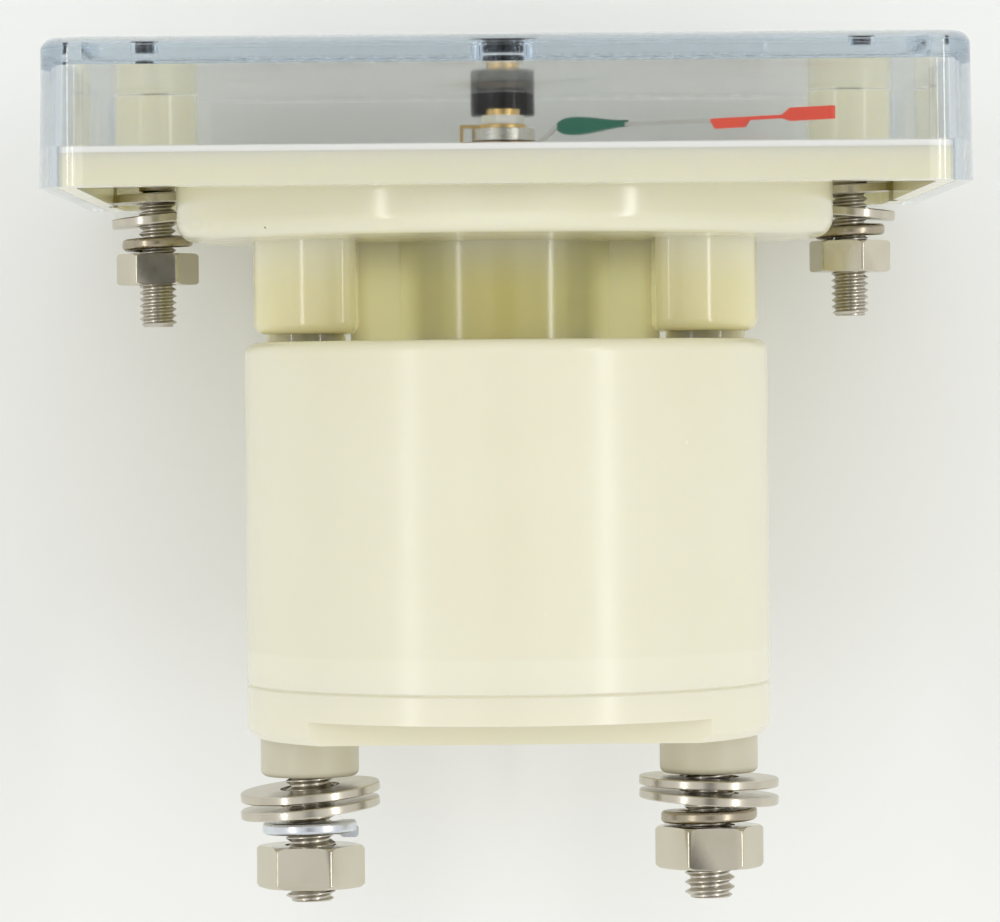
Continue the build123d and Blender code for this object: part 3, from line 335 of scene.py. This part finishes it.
side = add_node(tree, "Math", {0: aside.outputs[0], 1: wall_start}, operation="GREATER_THAN")
behind = add_node(tree, "Math", {0: parts.outputs["Y"], 1: skirt_start},
                  operation="GREATER_THAN")
skirt = add_node(tree, "Math", {0: behind.outputs[0], 1: side.outputs[0]},
                 operation="SUBTRACT", use_clamp=True)
# Painted shade on the side walls and painted light on the rear skirt, both given as tints.
tint = add_node(tree, "Mix", {"Factor": side.outputs[0], "A": clear_tint, "B": side_wall_painted_shade},
                data_type="RGBA")
whole = add_node(tree, "Mix", {"Factor": skirt.outputs[0], "A": tint.outputs["Result"],
                               "B": skirt_painted_light}, data_type="RGBA")
tree.links.new(whole.outputs["Result"], shader.inputs["Base Color"])
depth = add_node(tree, "VolumeAbsorption", {"Color": edge_tint, "Density": edge_depth})
tree.links.new(depth.outputs["Volume"], tree.nodes["Material Output"].inputs["Volume"])
narrow = add_node(tree, "Math", {0: aside.outputs[0], 1: flute_half_width},
                  operation="LESS_THAN")
both = add_node(tree, "Math", {0: front.outputs[0], 1: low.outputs[0]}, operation="MULTIPLY")
where = add_node(tree, "Math", {0: both.outputs[0], 1: narrow.outputs[0]}, operation="MULTIPLY")
height = add_node(tree, "Math", {0: wave.outputs[0], 1: where.outputs[0]}, operation="MULTIPLY")
bump = add_node(tree, "Bump", {"Height": height.outputs[0], "Strength": 1.0,
                               "Distance": flute_depth})
tree.links.new(bump.outputs["Normal"], shader.inputs["Normal"])
dress(nodes["front_cover"], clear)

# The zero adjuster is a slotted button of black plastic pressed into the cover, and the cam
# behind it turns the lever that sets the pointer to zero.
adjuster_black = moulded("adjuster black plastic", (0.010, 0.010, 0.011, 1),
                         (0.016, 0.016, 0.017, 1), 0.14)
shader = adjuster_black.node_tree.nodes["Principled BSDF"]
shader.inputs["Specular IOR Level"].default_value = 0.3
for name in ("zero_adjuster", "adjuster_cam"):
    dress(nodes[name], adjuster_black)

# The dial plate is a sheet of aluminium with a coat of warm white paint, held in the flange's
# front recess by two screws.
dial_paint = moulded("dial white paint", (0.90, 0.90, 0.87, 1), (0.87, 0.87, 0.84, 1), 0.45,
                     grain=5000.0)
dress(nodes["dial_plate"], dial_paint)

# The scale is printed on the dial in black ink: an arc, fifty small divisions with longer
# marks at every five and ten, and the numbers. The ink lies on the paint's front face.
ink_thickness = 0.00002
ink_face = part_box("dial_plate")[0][1]
pivot_height = -0.0098
arc_radius = 0.0285
arc_width = 0.00022
arc_steps = 60
scale_half_angle = math.radians(45.0)
full_scale = 50
mark_sizes = ((50, 0.0016, 0.00016), (10, 0.0024, 0.00022), (5, 0.0032, 0.00032))
number_radius = 0.0252
number_height = 0.0042
ink = moulded("black ink", (0.015, 0.015, 0.015, 1), (0.03, 0.03, 0.03, 1), 0.5, grain=6000.0)


def pick(piece, kind, test):
    """Edit the piece with only the faces, edges or points that the test chooses selected."""
    bpy.ops.object.select_all(action="DESELECT")
    piece.select_set(True)
    bpy.context.view_layer.objects.active = piece
    bpy.ops.object.mode_set(mode="EDIT")
    bpy.ops.mesh.select_mode(type=kind)
    bpy.ops.mesh.select_all(action="DESELECT")
    bpy.ops.object.mode_set(mode="OBJECT")
    shape = piece.data
    for item in {"VERT": shape.vertices, "EDGE": shape.edges, "FACE": shape.polygons}[kind]:
        item.select = bool(test(item))
    bpy.ops.object.mode_set(mode="EDIT")


print_parts = []
for gaps, length, width in mark_sizes + ((0, arc_width, arc_width),):
    bpy.ops.object.select_all(action="DESELECT")
    bpy.ops.mesh.primitive_cube_add(size=1)
    mark = bpy.context.object
    mark.scale = (width, ink_thickness, length)
    bpy.ops.object.transform_apply(location=True, rotation=True, scale=True)
    pick(mark, "FACE", lambda face: True)
    bpy.ops.transform.translate(value=(0, 0, arc_radius + length / 2))
    bpy.ops.object.mode_set(mode="OBJECT")
    mark.rotation_euler = (0, -scale_half_angle, 0)
    mark.location = (0, ink_face - ink_thickness / 2, pivot_height)
    bpy.ops.object.transform_apply(location=True, rotation=True, scale=True)
    ahead = Vector((math.cos(scale_half_angle), 0, math.sin(scale_half_angle)))
    pick(mark, "FACE", lambda face: gaps or face.normal.dot(ahead) > 0.9)
    bpy.ops.mesh.spin(steps=gaps or arc_steps, dupli=bool(gaps), angle=-2 * scale_half_angle,
                      center=(0, 0, pivot_height), axis=(0, 1, 0))
    bpy.ops.mesh.select_all(action="SELECT")
    bpy.ops.mesh.remove_doubles(threshold=1e-7)
    bpy.ops.mesh.normals_make_consistent(inside=False)
    bpy.ops.object.mode_set(mode="OBJECT")
    print_parts.append(mark)
for value in range(0, full_scale + 1, 10):
    angle = -scale_half_angle + value / full_scale * 2 * scale_half_angle
    bpy.ops.object.select_all(action="DESELECT")
    bpy.ops.object.text_add(location=(number_radius * math.sin(angle),
                                      ink_face - ink_thickness / 2,
                                      pivot_height + number_radius * math.cos(angle)),
                            rotation=(math.pi / 2, 0, 0))
    number = bpy.context.object
    number.data.body = str(value)
    number.data.size = number_height
    number.data.extrude = ink_thickness / 2
    number.data.align_x = "CENTER"
    number.data.align_y = "CENTER"
    bpy.ops.object.convert(target="MESH")
    bpy.ops.object.transform_apply(location=True, rotation=True, scale=True)
    print_parts.append(bpy.context.object)
bpy.ops.object.select_all(action="DESELECT")
for part in print_parts:
    part.select_set(True)
bpy.context.view_layer.objects.active = print_parts[0]
bpy.ops.object.join()
scale_print = print_parts[0]
scale_print.name = "scale_print"
dress(scale_print, ink)
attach(scale_print, "case")


# The core is a round cast magnet with a ground skin, and the yoke is a ring of soft iron round
# it, plated against rust. The coil turns in the gap between them.
def plated(name, colour, roughness, wear=0.12, stain=(0.8, 0.74, 0.6), stained=0.25):
    """A bare or plated metal: its gloss varies with fine wear, and thin stains tint it."""
    material = bpy.data.materials.new(name)
    material.use_nodes = True
    tree = material.node_tree
    shader = tree.nodes["Principled BSDF"]
    shader.inputs["Metallic"].default_value = 1.0
    place = add_node(tree, "TexCoord")
    cloud = add_node(tree, "TexNoise", {"Vector": place.outputs["Object"], "Scale": 900.0,
                                        "Detail": 5.0})
    gloss = add_node(tree, "MapRange", {"Value": cloud.outputs["Fac"], "To Min": roughness,
                                        "To Max": roughness + wear})
    tree.links.new(gloss.outputs["Result"], shader.inputs["Roughness"])
    patches = add_node(tree, "TexNoise", {"Vector": place.outputs["Object"], "Scale": 350.0,
                                          "Detail": 6.0})
    spread = add_node(tree, "MapRange", {"Value": patches.outputs["Fac"], "From Min": 0.45,
                                         "From Max": 0.75, "To Max": stained})
    stain_colour = tuple(c * s for c, s in zip(colour, stain)) + (1,)
    tint = add_node(tree, "Mix", {"Factor": spread.outputs["Result"], "A": (*colour, 1),
                                  "B": stain_colour}, data_type="RGBA")
    tree.links.new(tint.outputs["Result"], shader.inputs["Base Color"])
    skin = add_node(tree, "TexNoise", {"Vector": place.outputs["Object"], "Scale": 4000.0,
                                       "Detail": 2.0})
    bump = add_node(tree, "Bump", {"Height": skin.outputs["Fac"], "Strength": 0.3,
                                   "Distance": 0.000004})
    tree.links.new(bump.outputs["Normal"], shader.inputs["Normal"])
    return material


dress(nodes["core_magnet"], plated("cast magnet", (0.30, 0.29, 0.28), 0.42))
dress(nodes["yoke_ring"], plated("plated soft iron", (0.50, 0.50, 0.49), 0.35))

# Two brass spacers hold the core in the middle of the yoke, one above and one below, clear of
# the coil's swing.
core_spacer_brass = plated("spacer brass", (0.66, 0.48, 0.20), 0.28)
for name in ("core_spacer_upper", "core_spacer_lower"):
    dress(nodes[name], core_spacer_brass)

# The movement's frame and its two bridges are pressed from nickel silver, and two screws hold
# the frame to posts in the well.
frame_silver = plated("nickel silver sheet", (0.66, 0.64, 0.58), 0.22)
for name in ("movement_frame", "front_bridge", "rear_bridge"):
    dress(nodes[name], frame_silver)

# The jewel screws are turned brass, each with a cup for the staff's needle point, and a thin
# hexagon nut of nickel silver locks the front one.
screw_brass = plated("turned brass", (0.78, 0.55, 0.22), 0.2)
for name in ("front_jewel_screw", "rear_jewel_screw"):
    dress(nodes[name], screw_brass)
dress(nodes["jewel_lock_nut"], plated("lock nut silver", (0.80, 0.79, 0.75), 0.16))

# The moving coil is many turns of enamelled copper wire on a light bent aluminium frame. The
# turns run round the frame and show as fine parallel ridges.
wire_pitch = 0.00016
dress(nodes["coil_former"], plated("aluminium strip", (0.80, 0.80, 0.80), 0.3))
enamel = plated("enamelled copper wire", (0.55, 0.20, 0.07), 0.3, stain=(0.6, 0.5, 0.5))
tree = enamel.node_tree
place = add_node(tree, "TexCoord")
across = add_node(tree, "VectorMath", {0: place.outputs["Object"],
                                       1: (math.sqrt(0.5), 0.0, -math.sqrt(0.5))},
                  operation="DOT_PRODUCT")
turns = add_node(tree, "Math", {0: across.outputs["Value"], 1: 2 * math.pi / wire_pitch},
                 operation="MULTIPLY")
ridge = add_node(tree, "Math", {0: turns.outputs[0]}, operation="SINE")
bump = add_node(tree, "Bump", {"Height": ridge.outputs[0], "Strength": 0.8,
                               "Distance": wire_pitch / 4})
tree.links.new(bump.outputs["Normal"], tree.nodes["Principled BSDF"].inputs["Normal"])
dress(nodes["coil_winding"], enamel)

# Each staff is a short steel needle with a disc, cemented to an end of the coil. Its point
# runs in a jewel.
needle_steel = plated("hardened needle steel", (0.62, 0.61, 0.60), 0.15)
for name in ("front_staff", "rear_staff"):
    dress(nodes[name], needle_steel)

# The balance cross is stamped brass on the front staff, and small weights on its three arms
# balance the pointer.
dress(nodes["balance_cross"], plated("balance brass", (0.74, 0.53, 0.22), 0.25))

# The pointer is a flat strip of aluminium on the balance cross, cranked forward over the
# dial. It is left bare, apart from its outer end, which is dipped in bright red lacquer.
red_start = 0.0213
red_edge_width = 0.00005
red_edge_wobble = 0.0001
pointer_silver = (0.62, 0.61, 0.57, 1)
pointer_red = (1.0, 0.10, 0.055, 1)
lacquer = bpy.data.materials.new("pointer strip and red lacquer")
lacquer.use_nodes = True
tree = lacquer.node_tree
shader = tree.nodes["Principled BSDF"]
shader.inputs["Roughness"].default_value = 0.4
place = add_node(tree, "TexCoord")
flat = add_node(tree, "VectorMath", {0: place.outputs["Object"], 1: (1.0, 0.0, 1.0)},
                operation="MULTIPLY")
reach = add_node(tree, "VectorMath", {0: flat.outputs["Vector"], 1: (0.0, 0.0, pivot_height)},
                 operation="DISTANCE")
wobble = add_node(tree, "TexNoise", {"Vector": place.outputs["Object"], "Scale": 2500.0})
edge = add_node(tree, "MapRange", {"Value": wobble.outputs["Fac"],
                                   "To Min": -red_edge_wobble, "To Max": red_edge_wobble})
brushed = add_node(tree, "Math", {0: reach.outputs["Value"], 1: edge.outputs["Result"]},
                   operation="ADD")
dipped = add_node(tree, "MapRange", {"Value": brushed.outputs[0], "From Min": red_start,
                                     "From Max": red_start + red_edge_width})
tint = add_node(tree, "Mix", {"Factor": dipped.outputs["Result"], "A": pointer_silver,
                              "B": pointer_red}, data_type="RGBA")
tree.links.new(tint.outputs["Result"], shader.inputs["Base Color"])
bare = add_node(tree, "Math", {0: 1.0, 1: dipped.outputs["Result"]}, operation="SUBTRACT")
tree.links.new(bare.outputs[0], shader.inputs["Metallic"])
dress(nodes["pointer"], lacquer)

# Near its root the pointer carries a leaf of dark green lacquered sheet, folded round it.
dress(nodes["pointer_leaf"], moulded("green lacquer", (0.008, 0.14, 0.085, 1),
                                     (0.015, 0.17, 0.105, 1), 0.25))

# The two hairsprings are flat spirals of phosphor bronze. They bring the coil back to zero
# and carry its current.
spring_bronze = plated("phosphor bronze", (0.72, 0.46, 0.24), 0.22)
for name in ("front_hairspring", "rear_hairspring"):
    dress(nodes[name], spring_bronze)

# The zero lever is a stamped brass fork on the front bridge. The cam's pin turns it, and it
# carries the front hairspring's outer end.
dress(nodes["zero_lever"], plated("lever brass", (0.75, 0.53, 0.21), 0.24))

# Four small plated steel screws hold the dial to its posts and the movement's frame to the
# housing.
small_screw_plate = plated("plated screw steel", (0.66, 0.64, 0.60), 0.2)
for name in ("dial_screw_left", "dial_screw_right", "frame_screw_left", "frame_screw_right"):
    dress(nodes[name], small_screw_plate)

# Inside each tower a brass tag sits under the terminal stud's head, for the coil's lead.
tag_brass = plated("tag brass", (0.76, 0.56, 0.24), 0.22)
for name in ("terminal_tag_left", "terminal_tag_right"):
    dress(nodes[name], tag_brass)

# Each terminal stud passes through an insulating bush of greyish natural nylon, moulded with
# a rounded collar that stands behind the end plate.
bush_nylon = moulded("natural nylon", (0.66, 0.625, 0.49, 1), (0.615, 0.58, 0.445, 1), 0.4)
shader = bush_nylon.node_tree.nodes["Principled BSDF"]
shader.inputs["Subsurface Weight"].default_value = 0.25
shader.inputs["Subsurface Radius"].default_value = (1.0, 0.9, 0.6)
shader.inputs["Subsurface Scale"].default_value = 0.0015
for name in ("terminal_bush_left", "terminal_bush_right"):
    dress(nodes[name], bush_nylon)

# The studs are plated steel with rolled threads and a chamfer at the free end: two of 3 mm,
# moulded into posts of the base, hold the meter to its panel, and two of 4 mm with flat heads
# are the terminals. The thinner front tips of the first two, inside the cover, are coloured
# near black, a painted shade.
tip_start = -0.0083
tip_painted_shade = (0.07, 0.075, 0.08, 1)
stud_nickel = plated("stud nickel plate", (0.58, 0.55, 0.48), 0.24)
tree = stud_nickel.node_tree
shader = tree.nodes["Principled BSDF"]
place = add_node(tree, "TexCoord")
parts = add_node(tree, "SeparateXYZ", {"Vector": place.outputs["Object"]})
# Painted shade: the studs' front tips inside the cover are coloured near black.
tip = add_node(tree, "Math", {0: parts.outputs["Y"], 1: tip_start}, operation="LESS_THAN")
tip_shaded = add_node(tree, "Mix", {"Factor": tip.outputs[0],
                                "A": shader.inputs["Base Color"].links[0].from_socket,
                                "B": tip_painted_shade}, data_type="RGBA")
tree.links.new(tip_shaded.outputs["Result"], shader.inputs["Base Color"])
thread_steps = 32
thread_depth = 0.58             # in pitches, as are the stations of its profile
thread_root = 0.2
thread_flank = 0.34
thread_crest = 0.12
cut_offset = 0.0000071          # keeps each end cut clear of the thread's own points
spare_turns = 4
rod_sides = 48
gauge_ease = 1.02
end_chamfer = 0.00035
edge_round = 0.0001
gauge_overrun = 0.0002
shank_play = 0.00002
shank_overlap = 0.00005
post_mouth = -0.00835
tip_rear = -0.0082
tip_radius = 0.001
head_radius = 0.0024
head_thickness = 0.002
stud_sizes = {                  # x, z, thread start, thread end, crest radius, pitch
    "mounting_stud_left": (-0.0265, -0.016, -0.0012, 0.0088, 0.00141, 0.0005),
    "mounting_stud_right": (0.0265, -0.016, -0.0012, 0.0092, 0.00141, 0.0005),
    "terminal_stud_left": (-0.0147, 0.0, 0.0418, 0.0517, 0.00183, 0.0007),
    "terminal_stud_right": (0.0147, 0.0, 0.0418, 0.0517, 0.00183, 0.0007),
}
for name, (x, z, start, end, crest, pitch) in stud_sizes.items():
    root = crest - thread_depth * pitch
    bpy.ops.object.select_all(action="DESELECT")
    bpy.ops.mesh.primitive_plane_add(size=pitch)
    thread = bpy.context.object
    pick(thread, "VERT", lambda point: True)
    bpy.ops.mesh.merge(type="CENTER")
    bpy.ops.transform.translate(value=(root, start - spare_turns / 2 * pitch, 0))
    for out, up in ((0.0, thread_root), (crest - root, thread_flank), (0.0, thread_crest),
                    (root - crest, thread_flank)):
        bpy.ops.mesh.extrude_region_move(TRANSFORM_OT_translate={"value": (out, up * pitch, 0)})
    bpy.ops.object.mode_set(mode="OBJECT")
    rolled = thread.modifiers.new("rolled thread", "SCREW")
    rolled.axis = "Y"
    rolled.angle = 2 * math.pi
    rolled.screw_offset = pitch
    rolled.iterations = math.ceil((end - start) / pitch) + spare_turns
    rolled.steps = thread_steps
    rolled.render_steps = thread_steps
    bpy.ops.object.modifier_apply(modifier=rolled.name)
    pick(thread, "VERT", lambda point: True)
    bpy.ops.mesh.remove_doubles(threshold=1e-6)
    for plane, behind in ((start, True), (end, False)):
        bpy.ops.mesh.select_all(action="SELECT")
        bpy.ops.mesh.bisect(plane_co=(0, plane + cut_offset, 0), plane_no=(0, 1, 0),
                            use_fill=True, clear_inner=behind, clear_outer=not behind,
                            threshold=1e-8)
    bpy.ops.mesh.select_all(action="SELECT")
    bpy.ops.mesh.normals_make_consistent(inside=False)
    bpy.ops.object.mode_set(mode="OBJECT")
    bpy.ops.object.select_all(action="DESELECT")
    bpy.ops.mesh.primitive_cylinder_add(vertices=rod_sides, radius=crest * gauge_ease,
                                        depth=end - start + gauge_overrun,
                                        rotation=(math.pi / 2, 0, 0),
                                        location=(0, (start + end) / 2 - gauge_overrun / 2, 0))
    gauge = bpy.context.object
    bpy.ops.object.transform_apply(location=True, rotation=True, scale=True)
    pick(gauge, "FACE", lambda face: face.normal.y > 0.9)
    bpy.ops.mesh.bevel(offset=end_chamfer, segments=1)
    bpy.ops.object.mode_set(mode="OBJECT")
    bpy.ops.object.select_all(action="DESELECT")
    thread.select_set(True)
    bpy.context.view_layer.objects.active = thread
    pointed = thread.modifiers.new("end chamfer", "BOOLEAN")
    pointed.operation = "INTERSECT"
    pointed.object = gauge
    bpy.ops.object.modifier_apply(modifier=pointed.name)
    bpy.data.objects.remove(gauge)
    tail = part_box(name)[0][1]
    if name.startswith("terminal"):
        plain_parts = ((crest - shank_play, tail + head_thickness / 2, start + shank_overlap),
                       (head_radius, tail, tail + head_thickness))
    else:
        plain_parts = ((crest - shank_play, post_mouth, start + shank_overlap),
                       (tip_radius, tail, tip_rear))
    stud_parts = [thread]
    for radius, first, last in plain_parts:
        bpy.ops.object.select_all(action="DESELECT")
        bpy.ops.mesh.primitive_cylinder_add(vertices=rod_sides, radius=radius,
                                            depth=last - first,
                                            location=(0, (first + last) / 2, 0),
                                            rotation=(math.pi / 2, 0, 0))
        stud_parts.append(bpy.context.object)
        bpy.ops.object.transform_apply(location=True, rotation=True, scale=True)
        pick(stud_parts[-1], "FACE", lambda face: abs(face.normal.y) > 0.9)
        bpy.ops.mesh.bevel(offset=edge_round, segments=2)
        bpy.ops.object.mode_set(mode="OBJECT")
    bpy.ops.object.select_all(action="DESELECT")
    for part in stud_parts:
        part.select_set(True)
    bpy.context.view_layer.objects.active = thread
    bpy.ops.object.join()
    thread.name = name + "_threaded"
    thread.location = (x, 0, z)
    bpy.ops.object.transform_apply(location=True, rotation=True, scale=True)
    bpy.ops.object.shade_smooth_by_angle(angle=math.radians(35))
    dress(thread, stud_nickel)
    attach(thread, "case")
    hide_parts(name)

# The nuts are plain hexagon nuts in nickel plated steel, with turned chamfers and corners
# rounded by tumbling. Each size is modelled once and copied for its two studs.
nut_nickel = plated("nut nickel plate", (0.63, 0.59, 0.48), 0.12, wear=0.1)
corner_round = 0.00012
chamfer_share = 0.14            # of the nut's corner radius
bore_sides = 64
nut_sizes = ((0.00317, 0.0024, 0.00145, -0.016, {"mounting_nut_left": 45.0,
                                                 "mounting_nut_right": 1.0}),
             (0.00405, 0.0031, 0.0019, 0.0, {"terminal_nut_left": 5.0,
                                             "terminal_nut_right": 53.5}))
for corner, height, bore, nut_z, places in nut_sizes:
    bpy.ops.object.select_all(action="DESELECT")
    bpy.ops.mesh.primitive_cylinder_add(vertices=6, radius=corner, depth=height,
                                        rotation=(math.pi / 2, 0, 0))
    nut = bpy.context.object
    bpy.ops.object.transform_apply(location=True, rotation=True, scale=True)
    pick(nut, "EDGE", lambda edge: abs(nut.data.vertices[edge.vertices[0]].co.y
                                       - nut.data.vertices[edge.vertices[1]].co.y) > height / 2)
    bpy.ops.mesh.bevel(offset=corner_round, segments=3)
    bpy.ops.object.mode_set(mode="OBJECT")
    for radius, depth, operation in ((corner, height, "INTERSECT"),
                                     (bore, height * 3, "DIFFERENCE")):
        bpy.ops.object.select_all(action="DESELECT")
        bpy.ops.mesh.primitive_cylinder_add(vertices=bore_sides, radius=radius, depth=depth,
                                            rotation=(math.pi / 2, 0, 0))
        tool = bpy.context.object
        bpy.ops.object.transform_apply(location=True, rotation=True, scale=True)
        if operation == "INTERSECT":
            pick(tool, "FACE", lambda face: abs(face.normal.y) > 0.9)
            bpy.ops.mesh.bevel(offset=corner * chamfer_share, segments=3, profile=0.62)
            bpy.ops.object.mode_set(mode="OBJECT")
        bpy.ops.object.select_all(action="DESELECT")
        nut.select_set(True)
        bpy.context.view_layer.objects.active = nut
        turned = nut.modifiers.new("turned", "BOOLEAN")
        turned.operation = operation
        turned.object = tool
        bpy.ops.object.modifier_apply(modifier=turned.name)
        bpy.data.objects.remove(tool)
    for node, turn in places.items():
        box_low, box_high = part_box(node)
        copy = bpy.data.objects.new(node + "_tumbled", nut.data.copy())
        bpy.context.collection.objects.link(copy)
        copy.rotation_euler = (0, -math.radians(turn + 30.0), 0)
        copy.location = ((box_low[0] + box_high[0]) / 2, box_high[1] - height / 2, nut_z)
        bpy.ops.object.select_all(action="DESELECT")
        copy.select_set(True)
        bpy.context.view_layer.objects.active = copy
        bpy.ops.object.transform_apply(location=True, rotation=True, scale=True)
        bpy.ops.object.shade_smooth_by_angle(angle=math.radians(25))
        dress(copy, nut_nickel)
        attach(copy, node)
        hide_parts(node)
    bpy.data.objects.remove(nut)

# Two flat washers lie on each stud, stamped from nickel plated steel. They hang askew on the
# thread, because nothing is clamped between them. The four small ones are of thick stock, and
# each is made from its CAD piece, grown on one face or both by the amounts below.
washer_nickel = plated("washer nickel plate", (0.60, 0.56, 0.47), 0.16, wear=0.14)
seam = 0.00001
washer_growth = {"mounting_washer_inner_left": (0.0, 0.0002),
                 "mounting_washer_outer_left": (0.0001, 0.0001),
                 "mounting_washer_inner_right": (0.0002, 0.0),
                 "mounting_washer_outer_right": (0.0001, 0.0001)}
for name in ("terminal_washer_inner_left", "terminal_washer_outer_left",
             "terminal_washer_inner_right", "terminal_washer_outer_right"):
    dress(nodes[name], washer_nickel)
for name, (forward, rearward) in washer_growth.items():
    washer = bpy.data.objects.new(name + "_stamped", nodes[name].data.copy())
    bpy.context.collection.objects.link(washer)
    pick(washer, "VERT", lambda point: True)
    bpy.ops.mesh.remove_doubles(threshold=1e-7)
    bpy.ops.object.mode_set(mode="OBJECT")
    shape = washer.data
    middle = sum((point.co for point in shape.vertices), Vector()) / len(shape.vertices)
    flat = sum((face.normal * face.area for face in shape.polygons if face.normal.y > 0.9),
               Vector()).normalized()
    for side, growth in ((1, rearward), (-1, forward)):
        pick(washer, "VERT", lambda point: (point.co - middle).dot(flat) * side > seam)
        bpy.ops.transform.translate(value=flat * side * growth)
        bpy.ops.object.mode_set(mode="OBJECT")
    bpy.ops.mesh.customdata_custom_splitnormals_clear()
    bpy.ops.object.shade_smooth_by_angle(angle=math.radians(35))
    dress(washer, washer_nickel)
    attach(washer, "case")
    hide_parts(name)

# A split spring washer sits under each nut. Three are of browned steel wire, and the one on
# the right terminal is zinc plated, with a bluish shine.
browned = plated("browned spring steel", (0.42, 0.37, 0.28), 0.2, wear=0.15)
zinc = plated("bluish zinc plate", (0.70, 0.735, 0.77), 0.22, stain=(0.75, 0.75, 0.8))
for name in ("mounting_spring_washer_left", "mounting_spring_washer_right",
             "terminal_spring_washer_left"):
    dress(nodes[name], browned)
dress(nodes["terminal_spring_washer_right"], zinc)
